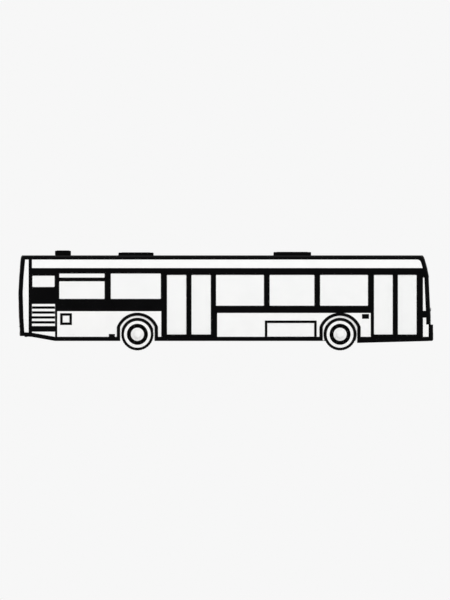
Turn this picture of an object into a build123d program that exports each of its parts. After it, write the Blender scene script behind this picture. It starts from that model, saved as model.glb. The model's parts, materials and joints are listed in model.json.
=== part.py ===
"""Low-entry city bus, two axles, two double doors on its right side.

Millimetres. +X is forward, +Y is the bus's left, +Z is up. The origin is on the road under the middle of the
body. The body is a shell of flat sides between two rounded ends, split where its panels meet.
"""
import math
import os

from build123d import *

# Bay lengths along a side, from tail to nose
TAIL_STRIP = 304.0
SEAM = 99.0
ENGINE_BAY = 665.0
ENGINE_POST = 112.0
REAR_WINDOW_1 = 1333.0
REAR_POST = 156.0
REAR_WINDOW_2 = 1469.0
REAR_JAMB = 72.0
MIDDLE_DOOR = 1456.0
FRONT_JAMB = 45.0
SIDE_WINDOW = 1406.0
SIDE_POST = 143.0
CENTRE_WINDOW = 1316.0
DOOR_POST = 68.0
FRONT_DOOR = 1421.0
A_PILLAR = 91.0
NOSE = 296.0
BAYS = (
    # name, length along X
    ("tail_strip", TAIL_STRIP),
    ("seam", SEAM),
    ("engine_bay", ENGINE_BAY),
    ("engine_post", ENGINE_POST),
    ("rear_window_1", REAR_WINDOW_1),
    ("rear_post", REAR_POST),
    ("rear_window_2", REAR_WINDOW_2),
    ("rear_jamb", REAR_JAMB),
    ("middle_door", MIDDLE_DOOR),
    ("front_jamb", FRONT_JAMB),
    ("window_3", SIDE_WINDOW),
    ("post_3", SIDE_POST),
    ("window_4", CENTRE_WINDOW),
    ("post_4", SIDE_POST),
    ("window_5", SIDE_WINDOW),
    ("door_post", DOOR_POST),
    ("front_door", FRONT_DOOR),
    ("a_pillar", A_PILLAR),
    ("nose", NOSE),
)
LENGTH = sum(length for _, length in BAYS)

# Body width and wall build-up
WIDTH = 2538.0  # over the panels; the skirt rails stand out from them
WALL = 60.0
SKIN = 10.0  # the outer layer that is either white panel or black band
BAND_RECESS = 2.0
GLASS = 6.0
GLASS_RECESS = 7.0
GLASS_GAP = 0.5
WINDOW_R = 28.0
SEAM_GAP = 2.0  # shut line between neighbouring panels

# Heights above the road
SKIRT_Z = 275.0
SKIRT_H = 121.0
FRONT_DROP = 58.0  # how far the skirt hangs lower just before the front arch
KICK_Z = 392.0  # skirt bottom at the tail seam
TAIL_Z = 417.0  # skirt bottom at the tail
FLOOR_Z = 345.0
BELT_LOW_Z = 1084.0
BELT_HIGH_Z = 1283.0
REAR_BELT_LOW_Z = 1134.0
REAR_BELT_HIGH_Z = 1480.0
WINDOW_TOP_Z = 2195.0
REAR_WINDOW_TOP_Z = 2236.0
HOPPER_LOW_Z = 2012.0
HOPPER_HIGH_Z = 2095.0
CANTRAIL_Z = 2384.0
FASCIA_Z = 2627.0
SHOULDER_Z = 2705.0
ROOF_Z = 2750.0
SCREEN_BAND_LOW_Z = 948.0
SCREEN_BAND_HIGH_Z = 1150.0
SCREEN_TOP_Z = 2104.0

# Rounded ends
CORNER_R = 110.0
BOW = 8.0  # how far the middle of an end stands out from its corners
CORNER_W = 137.0  # length along X of the black corner, measured from the outline
FASCIA_INSET = 50.0
SHOULDER_INSET = 92.0
ROOF_INSET = 175.0
MID_Z = 1650.0
HEAD_Z = 2150.0
PROFILE = (
    # height, nose setback, tail setback, side inset
    (SKIRT_Z, 66.0, 62.0, 0.0),
    (SCREEN_BAND_LOW_Z, 70.0, 20.0, 0.0),
    (MID_Z, 103.0, 0.0, 0.0),
    (HEAD_Z, 125.0, 26.0, 0.0),
    (CANTRAIL_Z, 172.0, 48.0, 0.0),
    (FASCIA_Z, 240.0, 70.0, FASCIA_INSET),
    (SHOULDER_Z, 270.0, 84.0, SHOULDER_INSET),
    (ROOF_Z, 306.0, 112.0, ROOF_INSET),
)

# Roof
ROOF_EDGE_W = 55.0  # flat top of the black roof edge
ROOF_CROWN = 18.0
ROOF_DIP = 8.0  # how far the crown stays under the roof edge

# Engine bay side: small window, dark panel and louvres
ENGINE_WINDOW_LOW_Z = 1824.0
ENGINE_WINDOW_TOP_Z = 2173.0
ENGINE_SILL_Z = 543.0
LOUVRE_LOW_Z = 708.0
LOUVRE_TOP_Z = 1344.0
LOUVRES = 5
LOUVRE_H = 66.0
LOUVRE_T = 6.0
LOUVRE_DEPTH = 45.0
LOWER_POST = 66.0

# Side flaps
FUEL_FLAP_X = 148.0  # from the end of the engine bay to the flap's frame
FUEL_FLAP_W = 342.0
FUEL_FLAP_Z = 737.0
FUEL_FLAP_H = 341.0
SIDE_FLAP_X = 15.0  # from the end of window 3 to the flap's frame
SIDE_FLAP_W = 1500.0
SIDE_FLAP_TOP_Z = 867.0
FLAP_FRAME = 70.0
FLAP_GAP = 7.0
FLAP_T = 20.0
FLAP_POCKET = 30.0
HINGE_PIN_R = 5.0
HINGE_GAP = 0.3
MARKER_W = 200.0
MARKER_H = 135.0
MARKER_Z = 918.0
MARKER_X = 50.0  # from the front door back to the marker
JACK_W = 174.0
JACK_H = 81.0
JACK_X = 230.0  # from the rear arch's lip back to the jacking pad
TRIM_T = 6.0

# Wheels and arches
REAR_AXLE_SETBACK = 760.0  # behind the middle door's portal
FRONT_AXLE_SETBACK = 886.0  # behind the front door's portal
TYRE_R = 468.0
TYRE_W = 275.0
TYRE_INSET = 30.0
TYRE_SHOULDER = 38.0
TWIN_GAP = 50.0
RIM_R = 290.0
RIM_T = 16.0
RIM_DISC = 22.0
HUB_R = 190.0
HUB_T = 58.0
FINAL_DRIVE_R = 190.0
SPINDLE_R = 60.0
SPINDLE_GAP = 0.3
ARCH_R = 543.0
ARCH_HALF = 498.0
ARCH_TOP_Z = 1003.0
LIP_R = 636.0
LIP_HALF = 596.0
LIP_TOP_Z = 1092.0

# Steering
KINGPIN_INSET = 345.0  # from the tyre's outer face in to the kingpin
KINGPIN_R = 22.0
KINGPIN_GAP = 0.3
BOSS_R = 45.0
BOSS_H = 130.0
EAR_H = 26.0
STEER_ARM_X = 190.0
STEER_ARM_Z = 250.0
BALL_R = 12.0
TIE_ROD_R = 16.0
AXLE_LOW_Z = 150.0
AXLE_H = 80.0
AXLE_W = 90.0

# Floor, platforms and housings
DECK_T = 25.0
REAR_DECK_Z = 700.0
REAR_STEP_X = 135.0  # from the middle door's portal back to the riser
STEP_DEPTH = 250.0
STEP_HALF = 370.0
ENGINE_DECK_Z = 1150.0
HOUSING_T = 20.0
FRONT_HOUSING_HALF = 620.0
FRONT_HOUSING_Y = 585.0
REAR_HOUSING_HALF = 540.0
REAR_HOUSING_Y = 560.0
HOUSING_TOP_Z = 1030.0
CAB_FLOOR_Z = 520.0
CAB_INNER_Y = 260.0

# Chassis
RAIL_Y = 420.0
RAIL_W = 80.0
HIGH_RAIL_H = 80.0
CROSS_W = 60.0
CROSS_PITCH = 820.0
CROSS_MEMBERS = 10
FRONT_BEAM_L = 90.0
TANK_L = 820.0
TANK_GAP = 80.0
TANK_LOW_Z = 335.0
AIR_SPRING_X = 330.0

TOW_R = 18.0
TOW_DEPTH = 70.0
TOW_HOLE_R = 30.0

# Engine block
ENGINE_L = 820.0
ENGINE_W = 640.0
ENGINE_LOW_Z = 440.0
ENGINE_H = 660.0
ENGINE_GAP = 60.0  # from the bulkhead back to the block
CRADLE_H = 50.0

# Doors that swing inward on posts and arms
LEAF_T = 40.0
LEAF_RECESS = 10.0
LEAF_GAP = 18.0  # from the portal's jamb to the leaf
LEAF_MEET = 16.0  # between the two leaves
LEAF_LIFT = 6.0  # between a leaf and the arm under or over it
STILE = 65.0
DOOR_GLASS_LOW_Z = 451.0
SEAL = 8.0  # between a leaf and the portal's threshold or lintel
POST_R = 22.0
POST_BEHIND_JAMB = 25.0
POST_DEPTH = 86.0  # from the body side in to the post
ARM_LIFT = 5.0  # between an arm and the floor or the header
ARM_H = 20.0
ARM_W = 26.0
BRACKET_H = 20.0
PIN_R = 8.0
PIN_GAP = 0.2
REST_GAP = 0.3
HEADER_Z = 2290.0
HEADER_DEPTH = 130.0

# Roof fittings, each with its length along X and its height over the roof edge
ROOF_UNIT_L = 462.0
ROOF_UNIT_H = 143.0
ROOF_UNIT_W = 1100.0
HATCH_W = 900.0
REAR_HATCH_L = 1019.0
REAR_HATCH_H = 82.0
REAR_HATCH_X = -40.0  # centre of the hatch, from the rear axle
FRONT_HATCH_L = 1089.0
FRONT_HATCH_H = 96.0
FRONT_HATCH_X = -1381.0  # centre of the hatch, from the front axle
HATCH_WALL = 30.0
HATCH_EDGE_R = 24.0
HATCH_HINGE_R = 7.0
HATCH_TRAY = 0.4  # depth of the lid's hollow, of its height
CURB = 45.0
CURB_DROP = 1.0  # from the roof edge down to the top of a hatch's curb
CURB_INSET = 10.0

# Ends
BUMPER_TOP_Z = 751.0
BUMPER_MID_Z = 520.0
BUMPER_R = 50.0  # round of the lower front edge
HORN_INSET = 469.0  # from the body side in to the raised end of the bumper
PLATE_SPACING = 440.0  # between the number plate's two holes
PLATE_Z = 420.0
PLATE_HOLE_R = 4.0
PANEL_INSET = 139.0  # from the body side in to the white end panels
LAMP_INSET = 304.0
LAMP_W = 290.0
LAMP_LOW_Z = 575.0
LAMP_H = 140.0
LAMP_DEPTH = 40.0
SCREEN_INSET = 184.0
SCREEN_LOW_Z = 1190.0
REAR_BUMPER_Z = 560.0
REAR_HEAD_Z = 2400.0
REAR_GLASS_INSET = 309.0
REAR_GLASS_LOW_Z = 1600.0
REAR_GLASS_TOP_Z = 2310.0
ENGINE_FLAP_INSET = 469.0
ENGINE_FLAP_LOW_Z = 640.0
ENGINE_FLAP_TOP_Z = 1440.0
ENGINE_FLAP_T = 30.0
TAIL_LAMP_W = 120.0
TAIL_LAMP_LOW_Z = 760.0
TAIL_LAMP_H = 620.0

# Cabin fittings
SEAT_W = 440.0
SEAT_DEPTH = 430.0
SEAT_H = 430.0
SEAT_T = 60.0
BACK_H = 620.0
BACK_T = 45.0
BACK_LEAN = 70.0
LEG_W = 90.0
SEAT_INSET = 12.0
KNEE_ROOM = 300.0
DOOR_ROOM = 130.0  # kept free beside a door's jamb for its open leaf
LOW_ROWS = 3
REAR_ROWS = 2
RAIL_R = 17.0
RAIL_Z = 1950.0
POLE_GAP = 5.0  # between a pole and the seats
DASH_L = 420.0
DASH_LOW_Z = 900.0
DASH_FRONT_Z = 1120.0
DASH_HOOD_Z = 1160.0
DASH_HOOD_L = 120.0
DASH_BACK_Z = 1060.0
WHEEL_R = 240.0  # steering wheel
WHEEL_TUBE_R = 16.0
WHEEL_REACH = 150.0  # from the dashboard to the steering wheel's middle
WHEEL_Z = 1230.0
WHEEL_TILT = -35.0
COLUMN_R = 32.0
COLUMN_L = 400.0

HALF = WIDTH / 2
TAIL_X = -LENGTH / 2
NOSE_X = LENGTH / 2


def lay_out_bays():
    """Start and end of each bay along X."""
    found, x = {}, TAIL_X
    for name, length in BAYS:
        found[name] = (x, x + length)
        x += length
    return found


BAY = lay_out_bays()
REAR_AXLE_X = BAY["middle_door"][0] - REAR_AXLE_SETBACK
FRONT_AXLE_X = BAY["front_door"][0] - FRONT_AXLE_SETBACK
AXLE_Z = TYRE_R
INNER_Y = HALF - WALL
HORN_Y = HALF - HORN_INSET
PANEL_Y = HALF - PANEL_INSET
LAMP_Y = HALF - LAMP_INSET
SCREEN_HALF = HALF - SCREEN_INSET
REAR_GLASS_HALF = HALF - REAR_GLASS_INSET
ENGINE_FLAP_HALF = HALF - ENGINE_FLAP_INSET
POLE_Y = INNER_Y - SEAT_INSET - 2 * SEAT_W - POLE_GAP - RAIL_R
LEAF_LOW_Z = FLOOR_Z + ARM_LIFT + ARM_H + LEAF_LIFT
LEAF_TOP_Z = HEADER_Z - ARM_LIFT - ARM_H - LEAF_LIFT
PORTAL_LOW_Z = LEAF_LOW_Z - SEAL
PORTAL_TOP_Z = LEAF_TOP_Z + SEAL
RISER_X = BAY["middle_door"][0] - REAR_STEP_X
BULKHEAD_X = BAY["engine_bay"][1]
KINGPIN_Y = HALF - TYRE_INSET - KINGPIN_INSET
WHEEL_Y = HALF - TYRE_INSET - TYRE_W / 2
HATCHES = (
    # name, centre along X, length, height
    ("roof_hatch_rear", REAR_AXLE_X + REAR_HATCH_X, REAR_HATCH_L, REAR_HATCH_H),
    ("roof_hatch_front", FRONT_AXLE_X + FRONT_HATCH_X, FRONT_HATCH_L, FRONT_HATCH_H),
)


def block(x0, x1, y0, y1, z0, z1):
    """A box between two corners."""
    return Pos((x0 + x1) / 2, (y0 + y1) / 2, (z0 + z1) / 2) * Box(x1 - x0, y1 - y0, z1 - z0)


def rod(x, y, z0, z1, r):
    """An upright cylinder."""
    return Pos(x, y, (z0 + z1) / 2) * Cylinder(r, z1 - z0)


def cross_rod(x, z, y0, y1, r):
    """A cylinder along Y."""
    return Pos(x, (y0 + y1) / 2, z) * Rot(90, 0, 0) * Cylinder(r, abs(y1 - y0))


def long_rod(y, z, x0, x1, r):
    """A cylinder along X."""
    return Pos((x0 + x1) / 2, y, z) * Rot(0, 90, 0) * Cylinder(r, x1 - x0)


def both_sides(solid):
    """A right-hand solid and its mirror on the left."""
    return [solid, mirror(solid, about=Plane.XZ)]


def panel(x0, x1, z0, z1, r=0.0):
    """A rectangle in the side view, as a flat sketch with x along the bus and y up."""
    shape = RectangleRounded(x1 - x0, z1 - z0, r) if r else Rectangle(x1 - x0, z1 - z0)
    return Pos((x0 + x1) / 2, (z0 + z1) / 2) * shape


def outline(points):
    """A polygon in the side view, as a flat sketch. A point that repeats the one before it is left out."""
    kept = [p for n, p in enumerate(points) if math.dist(p, points[n - 1]) > 0.001]
    return make_face(Polyline(*kept, close=True))


def plate(sketch, inner, outer):
    """A side-view sketch on the right of the bus, from one distance off the middle to another."""
    return extrude(Plane.XZ.offset(inner) * sketch, amount=outer - inner)


def setback(z, column):
    """A PROFILE column at a height, between its rows."""
    rows = PROFILE
    if z <= rows[0][0]:
        return rows[0][column]
    for low, high in zip(rows, rows[1:]):
        if z <= high[0]:
            share = (z - low[0]) / (high[0] - low[0])
            return low[column] + share * (high[column] - low[column])
    return rows[-1][column]


def nose_at(z):
    """How far forward the nose reaches at a height."""
    return NOSE_X - setback(z, 1)


def tail_at(z):
    """How far back the tail reaches at a height."""
    return TAIL_X + setback(z, 2)


def plan_face(z, tail, nose, half, radius):
    """The body's outline from above at one height: flat sides, round corners and bowed ends."""
    front, rear = nose - BOW, tail + BOW
    reach = half - radius
    turn = radius * (1 - math.sqrt(0.5))
    with BuildLine(Plane.XY.offset(z)) as line:
        Line((rear + radius, -half), (front - radius, -half))
        ThreePointArc((front - radius, -half), (front - turn, -half + turn), (front, -reach))
        ThreePointArc((front, -reach), (nose, 0), (front, reach))
        ThreePointArc((front, reach), (front - turn, half - turn), (front - radius, half))
        Line((front - radius, half), (rear + radius, half))
        ThreePointArc((rear + radius, half), (rear + turn, half - turn), (rear, reach))
        ThreePointArc((rear, reach), (tail, 0), (rear, -reach))
        ThreePointArc((rear, -reach), (rear + turn, -half + turn), (rear + radius, -half))
    return make_face(line.line)


def envelope(inset):
    """The body's outer form moved inward by an inset, lofted between the PROFILE's heights."""
    faces = []
    for height, nose, tail, side in PROFILE:
        z = height
        if inset and height > CANTRAIL_Z:
            z -= inset * (height - CANTRAIL_Z) / (ROOF_Z - CANTRAIL_Z)
        if inset and height == SKIRT_Z:
            z -= WALL
        faces.append(
            plan_face(z, TAIL_X + tail + inset, NOSE_X - nose - inset, HALF - side - inset, CORNER_R - inset)
        )
    return loft(faces, ruled=True)


def zone(at, sign, low_z, low_x):
    """The end zone from a corner's inner edge outward, as a prism across the bus."""
    inner = [(at(row[0]) - sign * CORNER_W, row[0]) for row in PROFILE[1:]]
    lower = [(low_x, SKIRT_Z - WALL), (low_x, low_z), (at(low_z) - sign * CORNER_W, low_z)]
    far = sign * (NOSE_X + WALL)
    points = lower + inner
    points += [(inner[-1][0], ROOF_Z + WALL), (far, ROOF_Z + WALL), (far, SKIRT_Z - WALL)]
    return extrude(Plane.XZ * outline(points), amount=HALF + WALL, both=True)


def bottom_line():
    """The skirt's lower edge from tail to nose."""
    arch_front = FRONT_AXLE_X + ARCH_HALF
    return [
        (TAIL_X, TAIL_Z),
        (BAY["seam"][1], KICK_Z),
        (BAY["engine_bay"][1], SKIRT_Z),
        (arch_front - SKIN, SKIRT_Z),
        (arch_front - SKIN, SKIRT_Z - FRONT_DROP),
        (NOSE_X, SKIRT_Z),
    ]


def arch(x, radius, half, top_z):
    """A wheel arch in the side view: round on top with upright sides."""
    round_part = Pos(x, top_z - radius) * Circle(radius)
    clipped = round_part & panel(x - half, x + half, top_z - radius, top_z + radius)
    return clipped + panel(x - half, x + half, SKIRT_Z - 2 * FRONT_DROP, top_z - radius)


def windows(right):
    """Visible glass of one side, as (x0, x1, z0, z1) rows."""
    bay = BAY
    rows = [
        (bay["engine_bay"][0], bay["engine_bay"][1], ENGINE_WINDOW_LOW_Z, ENGINE_WINDOW_TOP_Z),
        (*bay["rear_window_1"], REAR_BELT_HIGH_Z, HOPPER_LOW_Z),
        (*bay["rear_window_1"], HOPPER_HIGH_Z, REAR_WINDOW_TOP_Z),
        (*bay["rear_window_2"], REAR_BELT_HIGH_Z, REAR_WINDOW_TOP_Z),
    ]
    rows += [(*bay[name], BELT_HIGH_Z, WINDOW_TOP_Z) for name in ("window_3", "window_4", "window_5")]
    if not right:
        middle, front = bay["middle_door"], bay["front_door"]
        centre = sum(front) / 2
        rows += [
            (middle[0] + REAR_JAMB, middle[1] - SIDE_POST + FRONT_JAMB, BELT_HIGH_Z, WINDOW_TOP_Z),
            (front[0] + SIDE_POST - DOOR_POST, centre - SIDE_POST / 2, BELT_HIGH_Z, WINDOW_TOP_Z),
            (centre + SIDE_POST / 2, front[1] - STILE, SCREEN_BAND_HIGH_Z, WINDOW_TOP_Z),
        ]
    return rows


def window_sketch(right, grow=0.0):
    """All visible glass of one side as one sketch."""
    shape = None
    for x0, x1, z0, z1 in windows(right):
        pane = panel(x0 - grow, x1 + grow, z0 - grow, z1 + grow, WINDOW_R + grow)
        shape = pane if shape is None else shape + pane
    return shape


def portals():
    """Both door portals in the side view."""
    shape = None
    for name in ("middle_door", "front_door"):
        x0, x1 = BAY[name]
        portal = panel(x0, x1, PORTAL_LOW_Z, PORTAL_TOP_Z)
        shape = portal if shape is None else shape + portal
    return shape


def arches(radius, half, top_z):
    """Both wheel arches in the side view."""
    return arch(REAR_AXLE_X, radius, half, top_z) + arch(FRONT_AXLE_X, radius, half, top_z)


def fuel_flap_frame():
    """Low and high corners of the fuel flap's frame in the side view."""
    x0 = BAY["engine_bay"][1] + FUEL_FLAP_X
    return x0, x0 + FUEL_FLAP_W, FUEL_FLAP_Z, FUEL_FLAP_Z + FUEL_FLAP_H


def side_flap_frame():
    """Low and high corners of the side flap's frame in the side view."""
    x0 = BAY["window_3"][1] + SIDE_FLAP_X
    return x0, x0 + SIDE_FLAP_W, SKIRT_Z + SKIRT_H - FLAP_FRAME, SIDE_FLAP_TOP_Z


def side_flaps():
    """Both side flaps' frames, and whether each is hinged at its top rather than at its rear edge."""
    return ((fuel_flap_frame(), False), (side_flap_frame(), True))


def inside(frame, by):
    """A frame's corners moved inward."""
    x0, x1, z0, z1 = frame
    return x0 + by, x1 - by, z0 + by, z1 - by


def side_outline(top_z):
    """One whole side in the side view, up to a height."""
    points = bottom_line()
    return outline(points + [(NOSE_X, top_z), (TAIL_X, top_z)])


def band_sketch(right):
    """Where a side is black: window band, belts, jambs, engine bay and seam."""
    bay = BAY
    skirt_top = SKIRT_Z + SKIRT_H
    upper_front = bay["nose"][0]
    shape = panel(bay["seam"][1], bay["rear_jamb"][1], REAR_BELT_LOW_Z, CANTRAIL_Z)
    shape += panel(bay["rear_jamb"][1], bay["nose"][0], PORTAL_TOP_Z, CANTRAIL_Z)
    shape += panel(bay["front_jamb"][0], bay["door_post"][1], BELT_LOW_Z, CANTRAIL_Z)
    shape += panel(bay["seam"][0], bay["seam"][1], SKIRT_Z, CANTRAIL_Z)
    shape += panel(bay["engine_bay"][0], bay["engine_bay"][1], ENGINE_SILL_Z, CANTRAIL_Z)
    shape += panel(bay["engine_bay"][1], bay["engine_bay"][1] + LOWER_POST, SKIRT_Z, REAR_BELT_LOW_Z)
    shape += panel(upper_front, NOSE_X, SCREEN_BAND_LOW_Z, SCREEN_BAND_HIGH_Z)
    shape += panel(upper_front, NOSE_X, SCREEN_TOP_Z, CANTRAIL_Z)
    if right:
        shape += panel(bay["a_pillar"][0], bay["nose"][0], skirt_top, CANTRAIL_Z)
        shape += panel(bay["rear_jamb"][0], bay["rear_jamb"][1], skirt_top, CANTRAIL_Z)
        shape += panel(bay["front_jamb"][0], bay["front_jamb"][1] + FRONT_JAMB, skirt_top, BELT_LOW_Z)
    else:
        shape += panel(bay["rear_jamb"][1], bay["front_jamb"][0], BELT_LOW_Z, CANTRAIL_Z)
        shape += panel(bay["door_post"][1], bay["nose"][0], SCREEN_BAND_LOW_Z, CANTRAIL_Z)
    return shape & side_outline(CANTRAIL_Z)


def louvre_hole():
    """The engine bay's air opening in the side view."""
    x0, x1 = BAY["engine_bay"]
    return panel(x0, x1, LOUVRE_LOW_Z, LOUVRE_TOP_Z)


def fascia(inner, outer):
    """The leaning strip over the windows, between two distances under its outer face, along the whole bus."""
    points = [
        (-HALF + inner, CANTRAIL_Z),
        (-HALF + FASCIA_INSET + inner, FASCIA_Z),
        (-HALF + FASCIA_INSET + outer, FASCIA_Z),
        (-HALF + outer, CANTRAIL_Z),
    ]
    return Pos(TAIL_X, 0, 0) * extrude(Plane.YZ * outline(points), amount=LENGTH)


def seam_slot():
    """The seam's cut through the fascia's outer layer."""
    return block(*BAY["seam"], -HALF - SKIN, -INNER_Y, CANTRAIL_Z - SKIN, FASCIA_Z + SKIN)


def side_wall(right, ends):
    """One side's wall: base plate, white skin where it is not black, and the fascia over the windows."""
    holes = window_sketch(right) + arches(ARCH_R, ARCH_HALF, ARCH_TOP_Z) + louvre_hole()
    if right:
        holes += portals()
    body = side_outline(CANTRAIL_Z) - holes
    white = body - band_sketch(right)
    wall = plate(body, INNER_Y, HALF - SKIN) + plate(white, HALF - SKIN, HALF)
    wall += fascia(0, WALL) - (fascia(0, SKIN) & seam_slot())
    if right:
        for frame, hinge_top in side_flaps():
            pocket = panel(*inside(frame, FLAP_FRAME))
            wall -= plate(pocket, HALF - FLAP_POCKET, HALF + SKIN)
            wall += flap_pin(frame, hinge_top)[2]
    wall = wall - ends[0] - ends[1]
    return wall if right else mirror(wall, about=Plane.XZ)


def window_bands(ends):
    """The black outer layer of both sides with its windows cut, and the flaps' rubber frames."""
    made = []
    for right in (True, False):
        face = band_sketch(right) - window_sketch(right) - louvre_hole()
        face -= arches(ARCH_R, ARCH_HALF, ARCH_TOP_Z)
        if right:
            face -= portals()
        band = plate(face, HALF - SKIN, HALF - BAND_RECESS) + (fascia(BAND_RECESS, SKIN) & seam_slot())
        band = band - ends[0] - ends[1]
        made += list(band.solids()) if right else list(mirror(band, about=Plane.XZ).solids())
    for frame, _ in side_flaps():
        x0, x1, z0, z1 = frame
        ring = panel(x0, x1, z0, z1, WINDOW_R / 2) - panel(*inside(frame, FLAP_FRAME))
        ring &= panel(x0, x1, SKIRT_Z + SKIRT_H + SEAM_GAP, z1)
        made.append(plate(ring, HALF, HALF + TRIM_T / 2))
    return made


def skirt_mouldings():
    """Black rails along the foot of each side and round the arches, with jacking pads and markers."""
    made = []
    low = bottom_line()
    high = [(x, z + SKIRT_H) for x, z in low if z >= SKIRT_Z]
    high[-1] = (NOSE_X, SKIRT_Z + SKIRT_H)
    rail = outline(low + high[::-1])
    for right in (True, False):
        face = rail + (arches(LIP_R, LIP_HALF, LIP_TOP_Z) & side_outline(CANTRAIL_Z))
        face -= arches(ARCH_R, ARCH_HALF, ARCH_TOP_Z)
        face = face & panel(tail_at(TAIL_Z) + CORNER_W, NOSE_X - CORNER_W, 0, CANTRAIL_Z)
        if right:
            face -= portals()
        jack_x = REAR_AXLE_X - LIP_HALF - JACK_X
        face += panel(jack_x, jack_x + JACK_W, SKIRT_Z + SKIRT_H, SKIRT_Z + SKIRT_H + JACK_H)
        marker_x = BAY["front_door"][0] - MARKER_X
        trims = list(plate(face, HALF, HALF + TRIM_T).solids())
        marker = panel(marker_x - MARKER_W, marker_x, MARKER_Z, MARKER_Z + MARKER_H)
        trims.append(plate(marker, HALF, HALF + TRIM_T))
        made += trims if right else [mirror(t, about=Plane.XZ) for t in trims]
    return made


def louvres():
    """Sloping white blades in both air openings of the engine bay."""
    x0, x1 = BAY["engine_bay"]
    pitch = (LOUVRE_TOP_Z - LOUVRE_LOW_Z - LOUVRE_H) / (LOUVRES - 1)
    made = []
    for n in range(LOUVRES):
        low = LOUVRE_LOW_Z + n * pitch
        section = [
            (-HALF + BAND_RECESS, low),
            (-HALF + BAND_RECESS, low + LOUVRE_H),
            (-HALF + BAND_RECESS + LOUVRE_T, low + LOUVRE_H),
            (-HALF + BAND_RECESS + LOUVRE_DEPTH, low + LOUVRE_H + LOUVRE_T),
            (-HALF + BAND_RECESS + LOUVRE_DEPTH, low + LOUVRE_H),
            (-HALF + BAND_RECESS + LOUVRE_T, low + LOUVRE_H - LOUVRE_T),
            (-HALF + BAND_RECESS + LOUVRE_T, low),
        ]
        if n == LOUVRES - 1:
            section = section[:3] + section[6:]
        blade = Pos(x0, 0, 0) * extrude(Plane.YZ * outline(section), amount=x1 - x0)
        made += both_sides(blade)
    return made


def side_panes():
    """Glass of both sides and the rear window."""
    made = []
    for right in (True, False):
        for x0, x1, z0, z1 in windows(right):
            g = GLASS_GAP
            face = panel(x0 + g, x1 - g, z0 + g, z1 - g, WINDOW_R - g)
            pane = plate(face, HALF - GLASS_RECESS - GLASS, HALF - GLASS_RECESS)
            made.append(pane if right else mirror(pane, about=Plane.XZ))
    return made


def end_opening(x, half, z0, z1):
    """A round-cornered hole through an end of the body."""
    sketch = Pos(0, (z0 + z1) / 2) * RectangleRounded(2 * half, z1 - z0, WINDOW_R * 2)
    return Pos(x, 0, 0) * extrude(Plane.YZ * sketch, amount=2 * WALL + 2 * CORNER_W, both=True)


def roof_parts(ends):
    """White roof panel with its hatch curbs, and the two black roof edges."""
    top_y = HALF - ROOF_INSET
    inner = top_y - ROOF_EDGE_W
    low = ROOF_Z - WALL
    edge = ROOF_Z - ROOF_DIP - ROOF_CROWN
    with BuildLine() as line:
        Line((-inner, low), (-inner, edge))
        ThreePointArc((-inner, edge), (0, ROOF_Z - ROOF_DIP), (inner, edge))
        Line((inner, edge), (inner, low))
        Line((inner, low), (-inner, low))
    roof = Pos(TAIL_X, 0, 0) * extrude(Plane.YZ * make_face(line.line), amount=LENGTH)
    for _, x, length, _ in HATCHES:
        half_l, half_w = length / 2 - CURB_INSET, HATCH_W / 2 - CURB_INSET
        curb = block(x - half_l, x + half_l, -half_w, half_w, low, ROOF_Z - CURB_DROP)
        hole = block(x - half_l + CURB, x + half_l - CURB, -half_w + CURB, half_w - CURB, 0, 2 * ROOF_Z)
        roof = roof + curb - hole
    points = [
        (-HALF + FASCIA_INSET, FASCIA_Z),
        (-HALF + SHOULDER_INSET, SHOULDER_Z),
        (-HALF + ROOF_INSET, ROOF_Z),
        (-inner, ROOF_Z),
        (-inner, low),
        (-HALF + SHOULDER_INSET + WALL, low - WALL / 2),
        (-HALF + FASCIA_INSET + WALL, FASCIA_Z),
    ]
    rail = Pos(TAIL_X, 0, 0) * extrude(Plane.YZ * outline(points), amount=LENGTH)
    return roof - ends[0] - ends[1], both_sides(rail - ends[0] - ends[1])


def hatch_lid(x, length, height):
    """A hatch lid: a shallow tray upside down over its curb."""
    low = ROOF_Z - CURB_DROP + REST_GAP
    top = ROOF_Z + height
    lid = block(x - length / 2, x + length / 2, -HATCH_W / 2, HATCH_W / 2, low, top)
    lid = fillet(lid.edges().filter_by(Axis.Z) + lid.faces().sort_by(Axis.Z)[-1].edges(), HATCH_EDGE_R)
    half_l, half_w = length / 2 - HATCH_WALL, HATCH_W / 2 - HATCH_WALL
    lid -= block(x - half_l, x + half_l, -half_w, half_w, low, low + (top - low) * HATCH_TRAY)
    hinge_y = HATCH_W / 2 - HATCH_EDGE_R
    return lid + cross_rod(x - length / 2, low + HATCH_HINGE_R, -hinge_y, hinge_y, HATCH_HINGE_R)


def roof_unit():
    """The extractor box at the tail end of the roof."""
    x0 = BAY["engine_bay"][1]
    low = ROOF_Z - ROOF_DIP + REST_GAP
    unit = block(x0, x0 + ROOF_UNIT_L, -ROOF_UNIT_W / 2, ROOF_UNIT_W / 2, low, ROOF_Z + ROOF_UNIT_H)
    return fillet(unit.edges().filter_by(Axis.Z) + unit.faces().sort_by(Axis.Z)[-1].edges(), CURB / 2)


def rounded_foot(low_x):
    """The space of the bumper from a place along X to the nose, with its lower front edge rounded."""
    turn = BUMPER_R * (1 - math.sqrt(0.5))
    with BuildLine(Plane.XZ) as line:
        Line((low_x, SKIRT_Z), (NOSE_X - BUMPER_R, SKIRT_Z))
        ThreePointArc((NOSE_X - BUMPER_R, SKIRT_Z), (NOSE_X - turn, SKIRT_Z + turn), (NOSE_X, SKIRT_Z + BUMPER_R))
        Polyline((NOSE_X, SKIRT_Z + BUMPER_R), (NOSE_X, BUMPER_TOP_Z), (low_x, BUMPER_TOP_Z), (low_x, SKIRT_Z))
    return Pos(0, HALF, 0) * extrude(make_face(line.line), amount=2 * HALF)


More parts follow.
